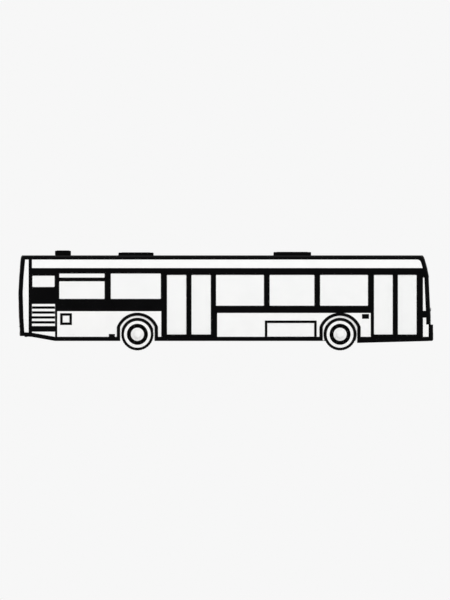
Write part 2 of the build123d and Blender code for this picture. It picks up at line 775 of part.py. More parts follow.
def nose_parts(outer, inner):
    """Black surround, white panel, windscreen, bumper and headlamps of the nose."""
    low_x = NOSE_X - CORNER_W
    shell = (outer - inner) & zone(nose_at, 1, BUMPER_TOP_Z, low_x)
    above = block(low_x - 2 * WALL - CORNER_W - NOSE, NOSE_X, -HALF, HALF, BUMPER_TOP_Z, ROOF_Z)
    panel_low = BUMPER_MID_Z - WALL
    front = block(low_x - 2 * WALL, NOSE_X, -PANEL_Y, PANEL_Y, panel_low, SCREEN_BAND_LOW_Z)
    screen_hole = end_opening(NOSE_X, SCREEN_HALF, SCREEN_LOW_Z, SCREEN_TOP_Z)
    surround = (shell & above) - front - screen_hole
    white = (outer - inner) & front
    g = GLASS_GAP
    pane = envelope(GLASS_RECESS) - envelope(GLASS_RECESS + GLASS)
    pane &= end_opening(NOSE_X, SCREEN_HALF - g, SCREEN_LOW_Z + g, SCREEN_TOP_Z - g)
    pane &= block(0, NOSE_X, -HALF, HALF, 0, ROOF_Z)
    bumper = extrude(plan_face(SKIRT_Z, TAIL_X, NOSE_X, HALF, CORNER_R), amount=BUMPER_TOP_Z - SKIRT_Z)
    hollow = plan_face(SKIRT_Z, TAIL_X, NOSE_X - WALL, HALF - WALL, CORNER_R - WALL)
    bumper -= extrude(hollow, amount=BUMPER_TOP_Z - SKIRT_Z)
    bumper &= rounded_foot(low_x)
    bumper -= block(low_x, NOSE_X + WALL, -HORN_Y, HORN_Y, BUMPER_MID_Z, BUMPER_TOP_Z)
    bumper -= long_rod(-RAIL_Y, SKIRT_Z + RAIL_W / 2, low_x, NOSE_X + WALL, TOW_HOLE_R)
    for side in (-1, 1):
        bumper -= long_rod(side * PLATE_SPACING / 2, PLATE_Z, low_x, NOSE_X + WALL, PLATE_HOLE_R)
    lamps = []
    for side in (-1, 1):
        y0, y1 = side * LAMP_Y - LAMP_W / 2, side * LAMP_Y + LAMP_W / 2
        cut = block(NOSE_X - LAMP_DEPTH - BOW, NOSE_X + WALL, y0, y1, LAMP_LOW_Z, LAMP_LOW_Z + LAMP_H)
        lamps.append(bumper & cut)
        bumper -= cut
    return surround, white, pane, bumper, lamps


def tail_flap():
    """The engine flap, flat across the bowed tail with a round top edge, and its hinge pin."""
    r = ENGINE_FLAP_T / 2
    half = ENGINE_FLAP_HALF - FLAP_GAP
    low, top = ENGINE_FLAP_LOW_Z + FLAP_GAP, ENGINE_FLAP_TOP_Z - FLAP_GAP - r
    bow = BOW * (ENGINE_FLAP_HALF / (HALF - CORNER_R)) ** 2
    outside = [(tail_at(z) + bow, z) for z in (low, SCREEN_BAND_LOW_Z, top)]
    within = [(x + ENGINE_FLAP_T, z) for x, z in outside]
    lid = Pos(0, half, 0) * extrude(Plane.XZ * outline(outside + within[::-1]), amount=2 * half)
    x = outside[-1][0] + r
    lid = lid + cross_rod(x, top, -half, half, r) - cross_rod(x, top, -half, half, HINGE_PIN_R + HINGE_GAP)
    return lid, cross_rod(x, top, -ENGINE_FLAP_HALF, ENGINE_FLAP_HALF, HINGE_PIN_R)


def tail_parts(outer, inner):
    """Black surround with its bumper, white panel, window, engine flap and lamps of the tail."""
    shell = (outer - inner) & zone(tail_at, -1, TAIL_Z, tail_at(TAIL_Z) + CORNER_W)
    shell &= block(TAIL_X, 0, -HALF, HALF, TAIL_Z, ROOF_Z)
    reach = TAIL_X + 2 * WALL + CORNER_W
    middle = block(TAIL_X, reach, -PANEL_Y, PANEL_Y, REAR_BUMPER_Z, REAR_HEAD_Z)
    surround = shell - middle
    white = (outer - inner) & middle & block(TAIL_X, reach - WALL, -HALF, HALF, 0, ROOF_Z)
    white -= end_opening(TAIL_X, REAR_GLASS_HALF, REAR_GLASS_LOW_Z, REAR_GLASS_TOP_Z)
    g = GLASS_GAP
    pane = envelope(GLASS_RECESS) - envelope(GLASS_RECESS + GLASS)
    pane &= block(TAIL_X, 0, -HALF, HALF, 0, ROOF_Z)
    pane &= end_opening(TAIL_X, REAR_GLASS_HALF - g, REAR_GLASS_LOW_Z + g, REAR_GLASS_TOP_Z - g)
    half = ENGINE_FLAP_HALF
    white -= block(TAIL_X, reach, -half, half, ENGINE_FLAP_LOW_Z, ENGINE_FLAP_TOP_Z)
    flap, pin = tail_flap()
    white += pin
    lamps = []
    for side in (-1, 1):
        y0, y1 = side * LAMP_Y - TAIL_LAMP_W / 2, side * LAMP_Y + TAIL_LAMP_W / 2
        cut = block(TAIL_X, TAIL_X + LAMP_DEPTH + BOW, y0, y1, TAIL_LAMP_LOW_Z, TAIL_LAMP_LOW_Z + TAIL_LAMP_H)
        lamps.append(white & cut)
        white -= cut
    return surround, white, pane, flap, lamps


def flap_pin(frame, hinge_top):
    """Middle of a side flap's hinge pin in the side view, the pin, and the bore round it."""
    x0, x1, z0, z1 = inside(frame, FLAP_FRAME)
    y = -HALF + FLAP_T / 2
    if hinge_top:
        z = z1 - FLAP_GAP - FLAP_T / 2
        pin, bore = (long_rod(y, z, x0, x1, r) for r in (HINGE_PIN_R, HINGE_PIN_R + HINGE_GAP))
        return (x0 + x1) / 2, z, pin, bore
    x = x0 + FLAP_GAP + FLAP_T / 2
    return x, (z0 + z1) / 2, rod(x, y, z0, z1, HINGE_PIN_R), rod(x, y, z0, z1, HINGE_PIN_R + HINGE_GAP)


def flap(frame, hinge_top):
    """A side flap's lid, flush in its frame, with a round edge about its hinge pin."""
    x0, x1, z0, z1 = inside(frame, FLAP_FRAME + FLAP_GAP)
    r = FLAP_T / 2
    x, z, _, bore = flap_pin(frame, hinge_top)
    y = -HALF + r
    if hinge_top:
        lid = plate(panel(x0, x1, z0, z), HALF - FLAP_T, HALF) + long_rod(y, z, x0, x1, r)
    else:
        lid = plate(panel(x, x1, z0, z1), HALF - FLAP_T, HALF) + rod(x, y, z0, z1, r)
    return lid - bore


def floor_deck():
    """Floor panels, platforms, steps, bulkhead and wheel housings as one welded piece."""
    half = INNER_Y
    front_end = NOSE_X - PROFILE[0][1] - CORNER_W
    low = FLOOR_Z - DECK_T
    deck = block(RISER_X, front_end, -half, half, low, FLOOR_Z)
    deck += block(RISER_X, RISER_X + DECK_T, -half, half, FLOOR_Z, REAR_DECK_Z)
    deck += block(BULKHEAD_X, RISER_X + DECK_T, -half, half, REAR_DECK_Z - DECK_T, REAR_DECK_Z)
    step_z = (FLOOR_Z + REAR_DECK_Z) / 2
    deck += block(RISER_X, RISER_X + STEP_DEPTH, -STEP_HALF, STEP_HALF, FLOOR_Z, step_z)
    deck += block(BULKHEAD_X, BULKHEAD_X + DECK_T, -half, half, REAR_DECK_Z - DECK_T, ENGINE_DECK_Z)
    tail_end = tail_at(ENGINE_DECK_Z) + CORNER_W
    deck += block(tail_end, BULKHEAD_X + DECK_T, -half, half, ENGINE_DECK_Z - DECK_T, ENGINE_DECK_Z)
    deck += block(BAY["front_door"][0], front_end, CAB_INNER_Y, half, FLOOR_Z, CAB_FLOOR_Z)
    t = HOUSING_T
    housings = (
        # axle x, half length, inner y, lower edge
        (FRONT_AXLE_X, FRONT_HOUSING_HALF, FRONT_HOUSING_Y, low),
        (REAR_AXLE_X, REAR_HOUSING_HALF, REAR_HOUSING_Y, REAR_DECK_Z - DECK_T),
    )
    for x, long, y, foot in housings:
        for side in (-1, 1):
            ys = sorted((side * (y - t), side * half))
            inner_ys = sorted((side * y, side * (half + t)))
            deck += block(x - long - t, x + long + t, *ys, foot, HOUSING_TOP_Z + t)
            deck -= block(x - long, x + long, *inner_ys, 0, HOUSING_TOP_Z)
    return deck


def front_beam_x():
    """Front face of the foremost cross member, just behind the bowed bumper."""
    bow = BOW * ((RAIL_Y + RAIL_W / 2) / (HALF - CORNER_R)) ** 2
    return NOSE_X - WALL - bow - REST_GAP


def chassis_rails():
    """Two rails, low under the floor and raised behind the step."""
    low, top = SKIRT_Z, FLOOR_Z - DECK_T
    high = REAR_DECK_Z - DECK_T
    y0, y1 = -RAIL_Y - RAIL_W / 2, -RAIL_Y + RAIL_W / 2
    rail = block(RISER_X - RAIL_W, front_beam_x() - FRONT_BEAM_L, y0, y1, low, top)
    rail += block(RISER_X - RAIL_W, RISER_X, y0, y1, low, high)
    rail += block(BAY["seam"][0], RISER_X, y0, y1, high - HIGH_RAIL_H, high)
    return both_sides(rail)


def cross_members():
    """Beams between the rails with an outrigger each side, and the front beam with its towing socket."""
    low, top = SKIRT_Z, FLOOR_Z - DECK_T
    inner, outer = RAIL_Y - RAIL_W / 2, RAIL_Y + RAIL_W / 2
    made = []
    for n in range(CROSS_MEMBERS):
        x = RISER_X + n * CROSS_PITCH
        near_wheel = abs(x + CROSS_W / 2 - FRONT_AXLE_X) < FRONT_HOUSING_HALF + CROSS_W
        reach = FRONT_HOUSING_Y - HOUSING_T if near_wheel else INNER_Y
        made.append(block(x, x + CROSS_W, -inner, inner, low, top))
        made += both_sides(block(x, x + CROSS_W, -reach, -outer, low, top))
    x = front_beam_x()
    beam = block(x - FRONT_BEAM_L, x, -outer, outer, low, low + RAIL_W)
    made.append(beam - long_rod(-RAIL_Y, low + RAIL_W / 2, x - TOW_DEPTH, x, TOW_R))
    return made


def engine_cradle():
    """Two hangers from the raised rails that carry the engine block."""
    inner, outer = RAIL_Y - RAIL_W / 2, RAIL_Y + RAIL_W / 2
    low, high = ENGINE_LOW_Z - CRADLE_H, REAR_DECK_Z - DECK_T - HIGH_RAIL_H
    made = []
    for x in (BULKHEAD_X - ENGINE_GAP - ENGINE_L, BULKHEAD_X - ENGINE_GAP - RAIL_W):
        hanger = block(x, x + RAIL_W, -outer, outer, low, ENGINE_LOW_Z)
        for side in both_sides(block(x, x + RAIL_W, -outer, -inner, low, high)):
            hanger += side
        made.append(hanger)
    return made


def service_tanks():
    """Fuel and air tanks hung beside the raised rails behind the rear wheels."""
    x0 = REAR_AXLE_X - REAR_HOUSING_HALF - HOUSING_T - TANK_GAP - TANK_L
    high = REAR_DECK_Z - DECK_T
    return both_sides(block(x0, x0 + TANK_L, -INNER_Y + RAIL_W, -RAIL_Y - RAIL_W / 2, TANK_LOW_Z, high))


def engine():
    """The engine and gearbox as one plain block on its cradle."""
    x1 = BULKHEAD_X - ENGINE_GAP
    return block(x1 - ENGINE_L, x1, -ENGINE_W / 2, ENGINE_W / 2, ENGINE_LOW_Z, ENGINE_LOW_Z + ENGINE_H)


def front_axle():
    """Dropped front beam with a kingpin boss at each end and air springs up to the frame."""
    x = FRONT_AXLE_X
    top = AXLE_LOW_Z + AXLE_H
    drop_y = KINGPIN_Y - BOSS_R - 2 * AXLE_W
    neck_y = KINGPIN_Y - BOSS_R - FLAP_GAP
    axle = block(x - AXLE_W / 2, x + AXLE_W / 2, -drop_y, drop_y, AXLE_LOW_Z, top)
    boss_low = AXLE_Z - BOSS_H / 2
    for side in (-1, 1):
        points = [
            (side * (drop_y - AXLE_W), AXLE_LOW_Z),
            (side * drop_y, AXLE_LOW_Z),
            (side * neck_y, boss_low),
            (side * neck_y, AXLE_Z + BOSS_H / 2),
            (side * (drop_y - AXLE_W), top),
        ]
        arm = extrude(Plane.YZ * outline(points), amount=AXLE_W / 2, both=True)
        axle += Pos(x, 0, 0) * arm
        ys = sorted((side * (neck_y - FLAP_GAP), side * KINGPIN_Y))
        axle += block(x - AXLE_W / 4, x + AXLE_W / 4, *ys, boss_low, AXLE_Z + BOSS_H / 2)
        axle += rod(x, side * KINGPIN_Y, boss_low, AXLE_Z + BOSS_H / 2, BOSS_R)
        axle -= rod(x, side * KINGPIN_Y, 0, 2 * AXLE_Z, KINGPIN_R + KINGPIN_GAP)
        axle += rod(x, side * RAIL_Y, top, SKIRT_Z, RAIL_W / 2)
    return axle


def rear_axle():
    """Rear axle tube with its final drive, spring carriers, air springs and spindles for the twin wheels."""
    x = REAR_AXLE_X
    wheel_in = HALF - TYRE_INSET - 2 * TYRE_W - TWIN_GAP
    tube_r = SPINDLE_R + RIM_T
    axle = cross_rod(x, AXLE_Z, -wheel_in, wheel_in, tube_r)
    axle += Pos(x, 0, AXLE_Z) * Sphere(FINAL_DRIVE_R)
    spindle_end = HALF - TYRE_INSET - TYRE_W / 2
    high = REAR_DECK_Z - DECK_T - HIGH_RAIL_H
    for side in (-1, 1):
        axle += cross_rod(x, AXLE_Z, side * wheel_in, side * spindle_end, SPINDLE_R)
        y = side * RAIL_Y
        axle += block(
            x - AIR_SPRING_X - RAIL_W, x + AIR_SPRING_X + RAIL_W, y - RAIL_W / 2, y + RAIL_W / 2,
            AXLE_Z - tube_r, AXLE_Z - tube_r / 2,
        )
        for step in (-1, 1):
            axle += rod(x + step * AIR_SPRING_X, y, AXLE_Z - tube_r, high, RAIL_W / 2 + RIM_T)
    return axle


def knuckle(side):
    """Steering knuckle: ears and pin through the axle's boss, spindle for the wheel and steering arm."""
    x, y = FRONT_AXLE_X, side * KINGPIN_Y
    boss_low, boss_top = AXLE_Z - BOSS_H / 2, AXLE_Z + BOSS_H / 2
    ear_y = side * (KINGPIN_Y + BOSS_R + FLAP_GAP)
    out_y = side * (KINGPIN_Y + BOSS_R + FLAP_GAP + EAR_H)
    ys = sorted((y, out_y))
    made = rod(x, y, boss_low - EAR_H, boss_top + EAR_H, KINGPIN_R)
    for z0 in (boss_low - REST_GAP - EAR_H, boss_top + REST_GAP):
        made += rod(x, y, z0, z0 + EAR_H, BOSS_R)
        made += block(x - BOSS_R, x + BOSS_R, *ys, z0, z0 + EAR_H)
    web = sorted((ear_y, out_y))
    made += block(x - BOSS_R, x + BOSS_R, *web, boss_low - EAR_H, boss_top + EAR_H)
    made += cross_rod(x, AXLE_Z, ear_y, side * (HALF - TYRE_INSET - TYRE_W / 2), SPINDLE_R)
    arm_x = x - STEER_ARM_X
    z0 = STEER_ARM_Z + TIE_ROD_R + REST_GAP
    made += block(arm_x - TIE_ROD_R, x + BOSS_R, y - TIE_ROD_R, y + TIE_ROD_R, z0, z0 + EAR_H)
    made += block(x - BOSS_R, x + BOSS_R, y - TIE_ROD_R, y + TIE_ROD_R, z0, boss_low - EAR_H / 2)
    made += rod(arm_x, y, STEER_ARM_Z - TIE_ROD_R, z0 + EAR_H, BALL_R)
    return made


def tie_rod():
    """Rod between the two steering arms, with an eye round each ball pin."""
    x = FRONT_AXLE_X - STEER_ARM_X
    z = STEER_ARM_Z
    half = TIE_ROD_R / 2
    made = block(x - half, x + half, -KINGPIN_Y, KINGPIN_Y, z - half, z + half)
    for y in (-KINGPIN_Y, KINGPIN_Y):
        made += rod(x, y, z - TIE_ROD_R, z + TIE_ROD_R, 2 * BALL_R)
    for y in (-KINGPIN_Y, KINGPIN_Y):
        made -= rod(x, y, 0, AXLE_Z, BALL_R + KINGPIN_GAP)
    return made


def spun(points, x, y):
    """A closed section of (radius, offset) points turned about an axle at y, offsets growing outward."""
    side = 1 if y > 0 else -1
    face = Plane.YZ * outline([(y + side * out, r) for r, out in points])
    return Pos(x, 0, AXLE_Z) * revolve(face, Axis.Y, 360)


def tyre(x, y):
    """A tyre with square tread and rounded shoulders."""
    w, s = TYRE_W / 2, TYRE_SHOULDER
    bead = w - s
    points = [
        (RIM_R, -bead), (RIM_R + s, -w), (TYRE_R - s, -w), (TYRE_R - s / 3, -w + s / 3), (TYRE_R, -w + s),
        (TYRE_R, w - s), (TYRE_R - s / 3, w - s / 3), (TYRE_R - s, w), (RIM_R + s, w), (RIM_R, bead),
    ]
    return spun(points, x, y)


def rim(x, y, disc_out):
    """A wheel's rim and disc with its hub, bored for the spindle. disc_out is how far out the disc stands."""
    w = TYRE_W / 2 - TYRE_SHOULDER
    inner = RIM_R - RIM_T
    bore = SPINDLE_R + SPINDLE_GAP
    points = [
        (RIM_R, -w), (RIM_R, w), (inner, w), (inner, disc_out), (HUB_R, disc_out),
        (HUB_R - RIM_T, disc_out + HUB_T), (0, disc_out + HUB_T), (0, RIM_T), (bore, RIM_T),
        (bore, -RIM_T), (HUB_R / 2, -RIM_T), (HUB_R / 2, disc_out - RIM_DISC),
        (inner, disc_out - RIM_DISC), (inner, -w),
    ]
    return spun(points, x, y)


def front_wheel(side):
    """Tyre and rim of a front wheel."""
    y = side * WHEEL_Y
    return tyre(FRONT_AXLE_X, y), rim(FRONT_AXLE_X, y, TYRE_W / 2 - TYRE_SHOULDER - HUB_T)


def rear_wheel(side):
    """Twin tyres of a rear wheel and their joined rims."""
    x, y = REAR_AXLE_X, side * WHEEL_Y
    pitch = TYRE_W + TWIN_GAP
    tyres = [tyre(x, y), tyre(x, y - side * pitch)]
    w = TYRE_W / 2 - TYRE_SHOULDER
    inner = RIM_R - RIM_T
    outer_rim = rim(x, y, w - HUB_T)
    bore = SPINDLE_R + SPINDLE_GAP
    points = [
        (RIM_R, -pitch - w), (RIM_R, -w), (inner, -w), (inner, -pitch + RIM_T), (bore, -pitch + RIM_T),
        (bore, -pitch - RIM_T), (inner, -pitch - RIM_T), (inner, -pitch - w),
    ]
    return tyres, outer_rim + spun(points, x, y)


def door_plan(name):
    """For each leaf of a door: its way from the jamb, then its two edges and its post along X."""
    x0, x1 = BAY[name]
    middle = (x0 + x1) / 2
    made = []
    for way, jamb in ((1, x0), (-1, x1)):
        made.append((way, jamb + way * LEAF_GAP, middle - way * LEAF_MEET / 2, jamb - way * POST_BEHIND_JAMB))
    return made


def bracket_heights():
    """Lower faces of a leaf's two brackets, which touch the arms under and over the leaf."""
    return LEAF_LOW_Z - LEAF_LIFT + REST_GAP, LEAF_TOP_Z + LEAF_LIFT - REST_GAP - BRACKET_H


def door_leaf(near, far):
    """One leaf's frame with its two arm brackets, and its pane."""
    x0, x1 = sorted((near, far))
    outer = HALF - LEAF_RECESS
    frame = panel(x0, x1, LEAF_LOW_Z, LEAF_TOP_Z, WINDOW_R / 2)
    opening = (x0 + STILE, x1 - STILE + LEAF_RECESS, DOOR_GLASS_LOW_Z, WINDOW_TOP_Z)
    if near > far:
        opening = (x0 + STILE - LEAF_RECESS, x1 - STILE, DOOR_GLASS_LOW_Z, WINDOW_TOP_Z)
    leaf = plate(frame - panel(*opening, WINDOW_R), outer - LEAF_T, outer)
    x, y = (near + far) / 2, -(HALF - POST_DEPTH)
    for z in bracket_heights():
        leaf += block(x - ARM_W, x + ARM_W, -(outer - LEAF_T), y + ARM_W / 2, z, z + BRACKET_H)
        leaf -= rod(x, y, z - BRACKET_H, z + 2 * BRACKET_H, PIN_R + PIN_GAP)
    g = GLASS_GAP
    pane = panel(*(v + s * g for v, s in zip(opening, (1, -1, 1, -1))), WINDOW_R - g)
    return leaf, plate(pane, outer - LEAF_T / 2 - GLASS / 2, outer - LEAF_T / 2 + GLASS / 2)


def door_post(near, far, post_x):
    """Upright post with an arm under the leaf and one over it, each with a pin into the leaf's bracket."""
    x, y = (near + far) / 2, -(HALF - POST_DEPTH)
    made = rod(post_x, y, FLOOR_Z + REST_GAP, HEADER_Z - REST_GAP, POST_R)
    low, high = bracket_heights()
    arm_low, arm_high = FLOOR_Z + ARM_LIFT, HEADER_Z - ARM_LIFT - ARM_H
    for z in (arm_low, arm_high):
        made += block(*sorted((post_x, x)), y - ARM_W / 2, y + ARM_W / 2, z, z + ARM_H)
        made += rod(x, y, z, z + ARM_H, ARM_W / 2)
    made += rod(x, y, arm_low, low + BRACKET_H, PIN_R)
    made += rod(x, y, high, arm_high + ARM_H, PIN_R)
    return made


def door_headers():
    """The drive housings over the doors, which also hold the posts' upper ends."""
    made = []
    for name in ("middle_door", "front_door"):
        x0, x1 = BAY[name]
        made.append(block(x0, x1, -INNER_Y, -INNER_Y + HEADER_DEPTH, HEADER_Z, CANTRAIL_Z))
    return made


def seat(x, y0, y1, sit_z, foot_z):
    """A bench that faces forward, on one leg where it is not on a platform. x is the back's rear face."""
    points = [
        (x + BACK_LEAN, sit_z - SEAT_T),
        (x + BACK_LEAN + SEAT_DEPTH, sit_z - SEAT_T),
        (x + BACK_LEAN + SEAT_DEPTH, sit_z),
        (x + BACK_LEAN + BACK_T, sit_z),
        (x + BACK_T, sit_z + BACK_H),
        (x, sit_z + BACK_H),
    ]
    middle = (y0 + y1) / 2
    made = Pos(0, y1, 0) * extrude(Plane.XZ * outline(points), amount=y1 - y0)
    if foot_z == sit_z - SEAT_T:
        return made
    foot_x = x + BACK_LEAN + SEAT_DEPTH / 2
    return made + block(
        foot_x - LEG_W / 2, foot_x + LEG_W / 2, middle - LEG_W / 2, middle + LEG_W / 2, foot_z, sit_z - SEAT_T
    )


def seat_rows():
    """Seat rows as (x of the back, height of the seat, height of its foot)."""
    pitch = SEAT_DEPTH + BACK_LEAN + KNEE_ROOM
    rows = []
    for n in range(LOW_ROWS):
        rows.append((BAY["middle_door"][1] + DOOR_ROOM + n * pitch, FLOOR_Z + SEAT_H, FLOOR_Z))
    for n in range(REAR_ROWS):
        rows.append((BULKHEAD_X + KNEE_ROOM + n * pitch, REAR_DECK_Z + SEAT_H, REAR_DECK_Z))
    top = HOUSING_TOP_Z + HOUSING_T
    for x in (REAR_AXLE_X - REAR_HOUSING_HALF, REAR_AXLE_X + RAIL_W / 2):
        rows.append((x, top + SEAT_T, top))
    return rows


def passenger_seats():
    """Double seats along both walls and the bench over the engine."""
    wall = INNER_Y - SEAT_INSET
    made = []
    for x, sit_z, foot_z in seat_rows():
        made += both_sides(seat(x, -wall, -wall + 2 * SEAT_W, sit_z, foot_z))
    made.append(seat(BAY["seam"][1], -wall, wall, ENGINE_DECK_Z + SEAT_T, ENGINE_DECK_Z))
    return made


def grab_rails():
    """Poles from floor to ceiling along both sides of the aisle, with a rail clamped beside each row."""
    ceiling = ROOF_Z - WALL
    x0 = BAY["rear_window_1"][0]
    x1 = BAY["front_door"][0] - CROSS_W
    poles = (
        # x, foot height
        (RISER_X - STEP_DEPTH, REAR_DECK_Z),
        (BAY["rear_window_1"][0] + 2 * KNEE_ROOM, REAR_DECK_Z),
        (BAY["window_3"][0] + CROSS_W, FLOOR_Z),
        (BAY["window_4"][0] + CROSS_W, FLOOR_Z),
        (BAY["window_5"][0] + CROSS_W, FLOOR_Z),
        (x1 - CROSS_W, FLOOR_Z),
    )
    made = []
    for x, foot in poles:
        made += both_sides(rod(x, -POLE_Y, foot + REST_GAP, ceiling - REST_GAP, RAIL_R))
    made += both_sides(long_rod(-POLE_Y - 2 * RAIL_R - REST_GAP, RAIL_Z, x0, x1, RAIL_R))
    return made


def driver_seat():
    """The driver's seat on its pedestal."""
    x = sum(BAY["front_door"]) / 2 - SEAT_DEPTH
    y = (CAB_INNER_Y + INNER_Y) / 2
    half = SEAT_W / 2
    sit_z = CAB_FLOOR_Z + SEAT_H
    foot = block(x + BACK_LEAN, x + BACK_LEAN + SEAT_DEPTH, y - half / 2, y + half / 2, CAB_FLOOR_Z, sit_z)
    return seat(x, y - half, y + half, sit_z, CAB_FLOOR_Z) + foot


def dash_back():
    """Where the dashboard ends towards the driver."""
    return nose_at(MID_Z) - CORNER_W - FLAP_GAP - DASH_L


def dashboard():
    """Dashboard with its hood, column and steering wheel."""
    y = (CAB_INNER_Y + INNER_Y) / 2
    x1 = dash_back() + DASH_L
    x0 = dash_back()
    low, hood = DASH_LOW_Z, x0 + DASH_HOOD_L
    points = [(x0, low), (x1, low), (x1, DASH_FRONT_Z), (hood, DASH_HOOD_Z), (x0, DASH_BACK_Z)]
    dash = Pos(0, INNER_Y, 0) * extrude(Plane.XZ * outline(points), amount=INNER_Y - CAB_INNER_Y / 2)
    dash += block(x1 - DASH_HOOD_L, x1, CAB_INNER_Y, INNER_Y, CAB_FLOOR_Z, low)
    tilt = Pos(x0 - WHEEL_REACH, y, WHEEL_Z) * Rot(0, WHEEL_TILT, 0)
    dash += tilt * Torus(WHEEL_R, WHEEL_TUBE_R)
    dash += tilt * Cylinder(RAIL_W / 2, EAR_H)
    dash += tilt * Box(2 * WHEEL_R, 2 * WHEEL_TUBE_R, WHEEL_TUBE_R)
    dash += tilt * Box(2 * WHEEL_TUBE_R, 2 * WHEEL_R, WHEEL_TUBE_R)
    dash += tilt * Pos(0, 0, -COLUMN_L / 2) * Cylinder(COLUMN_R, COLUMN_L)
    return dash


def cab_partition():
    """Screen behind the driver and half door beside the cab."""
    x = BAY["front_door"][0]
    wall = block(x, x + DECK_T, CAB_INNER_Y, INNER_Y, CAB_FLOOR_Z, RAIL_Z)
    x_end = dash_back() - REST_GAP
    return wall + block(x, x_end, CAB_INNER_Y, CAB_INNER_Y + DECK_T, CAB_FLOOR_Z, BELT_HIGH_Z)


def build_nodes():
    """Every node by name."""
    outer, inner = envelope(0), envelope(WALL)
    ends = (
        zone(nose_at, 1, BUMPER_TOP_Z, NOSE_X - CORNER_W),
        zone(tail_at, -1, TAIL_Z, tail_at(TAIL_Z) + CORNER_W),
    )
    nose_surround, nose_panel, screen, bumper, headlamps = nose_parts(outer, inner)
    tail_surround, tail_panel, rear_pane, engine_flap, tail_lamps = tail_parts(outer, inner)
    roof, roof_edges = roof_parts(ends)
    nodes = {
        "chassis_rails": chassis_rails(),
        "cross_members": cross_members(),
        "engine_cradle": engine_cradle(),
        "service_tanks": service_tanks(),
        "floor_deck": floor_deck(),
        "side_wall_right": side_wall(True, ends),
        "side_wall_left": side_wall(False, ends),
        "window_bands": window_bands(ends),
        "skirt_mouldings": skirt_mouldings(),
        "engine_louvres": louvres(),
        "window_panes": side_panes() + [rear_pane],
        "roof_panel": roof,
        "roof_edges": roof_edges,
        "roof_unit": roof_unit(),
        "front_surround": nose_surround,
        "front_panel": nose_panel,
        "windscreen": screen,
        "front_bumper": bumper,
        "headlamps": headlamps,
        "rear_surround": tail_surround,
        "rear_panel": tail_panel,
        "tail_lamps": tail_lamps,
        "engine_flap": engine_flap,
        "fuel_flap": flap(*side_flaps()[0]),
        "side_flap": flap(*side_flaps()[1]),
        "engine_block": engine(),
        "front_axle": front_axle(),
        "rear_axle": rear_axle(),
        "knuckle_left": knuckle(1),
        "knuckle_right": knuckle(-1),
        "tie_rod": tie_rod(),
        "passenger_seats": passenger_seats(),
        "grab_rails": grab_rails(),
        "driver_seat": driver_seat(),
        "dashboard": dashboard(),
        "cab_partition": cab_partition(),
        "door_headers": door_headers(),
    }
    for name, x, length, height in HATCHES:
        nodes[name] = hatch_lid(x, length, height)
    for side, word in ((1, "left"), (-1, "right")):
        nodes["tyre_front_" + word], nodes["rim_front_" + word] = front_wheel(side)
        nodes["tyres_rear_" + word], nodes["rims_rear_" + word] = rear_wheel(side)
    for door in ("middle", "front"):
        for way, near, far, post_x in door_plan(door + "_door"):
            word = door + ("_a" if way > 0 else "_b")
            leaf, pane = door_leaf(near, far)
            nodes["door_leaf_" + word] = leaf
            nodes["door_glass_" + word] = pane
            nodes["door_post_" + word] = door_post(near, far, post_x)
    return nodes


def export(nodes):
    """One STEP file for each node."""
    os.makedirs("parts", exist_ok=True)
    for name, shape in nodes.items():
        parts = shape if isinstance(shape, list) else [shape]
        solids = [solid for part in parts for solid in part.solids()]
        export_step(Compound(children=solids), "parts/" + name + ".step")


export(build_nodes())
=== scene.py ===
"""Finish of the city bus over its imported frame. Metres; +X is forward, the door side faces -Y."""
import json
import math

import bmesh
import bpy
from mathutils import Matrix, Vector
from mathutils.bvhtree import BVHTree


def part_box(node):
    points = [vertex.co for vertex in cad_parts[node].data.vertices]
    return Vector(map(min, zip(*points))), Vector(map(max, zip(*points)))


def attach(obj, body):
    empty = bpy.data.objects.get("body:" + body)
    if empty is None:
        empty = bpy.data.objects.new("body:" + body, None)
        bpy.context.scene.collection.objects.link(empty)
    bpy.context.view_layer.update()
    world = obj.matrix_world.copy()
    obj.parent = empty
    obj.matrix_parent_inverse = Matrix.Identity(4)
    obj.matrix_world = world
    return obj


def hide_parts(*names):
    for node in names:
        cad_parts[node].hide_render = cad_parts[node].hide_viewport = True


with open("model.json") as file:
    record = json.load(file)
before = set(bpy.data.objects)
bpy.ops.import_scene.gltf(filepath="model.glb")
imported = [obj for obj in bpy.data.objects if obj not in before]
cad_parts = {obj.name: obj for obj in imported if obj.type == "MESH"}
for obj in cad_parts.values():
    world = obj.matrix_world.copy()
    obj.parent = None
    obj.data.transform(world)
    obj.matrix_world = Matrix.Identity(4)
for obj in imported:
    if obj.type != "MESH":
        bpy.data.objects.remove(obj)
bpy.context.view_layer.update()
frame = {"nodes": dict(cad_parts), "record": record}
NODES = frame["nodes"]
BODY_OF = {node: body for body, nodes in frame["record"]["behaviour"]["bodies"].items() for node in nodes}
SIDES = (("left", 1), ("right", -1))

# The photograph's camera: exact side view, one pixel for this many metres
METRES_PER_PIXEL = 0.028903
PHOTO_HEIGHT_PX = 600
PHOTO_ASPECT = 0.75
GROUND_PX = 350.5
MIDDLE_PX = 225.66
CAMERA_DISTANCE = 30.0
FLOOR_REACH = 200.0

# Where rays that look for a surface start, outside the bus
PROBE_X = 7.0
PROBE_Y = 2.0
PROBE_Z = 3.0

# Linear colours
PANEL_WHITE = (0.92, 0.92, 0.915)
INK_BLACK = (0.002, 0.002, 0.0022)
SEAT_GREY = (0.42, 0.44, 0.46)
SHELL_GREY = (0.62, 0.63, 0.64)
VINYL_GREY = (0.48, 0.49, 0.495)
INK_SHINE = 0.025  # specular level of the black parts
LENS_RIBS = 60.0

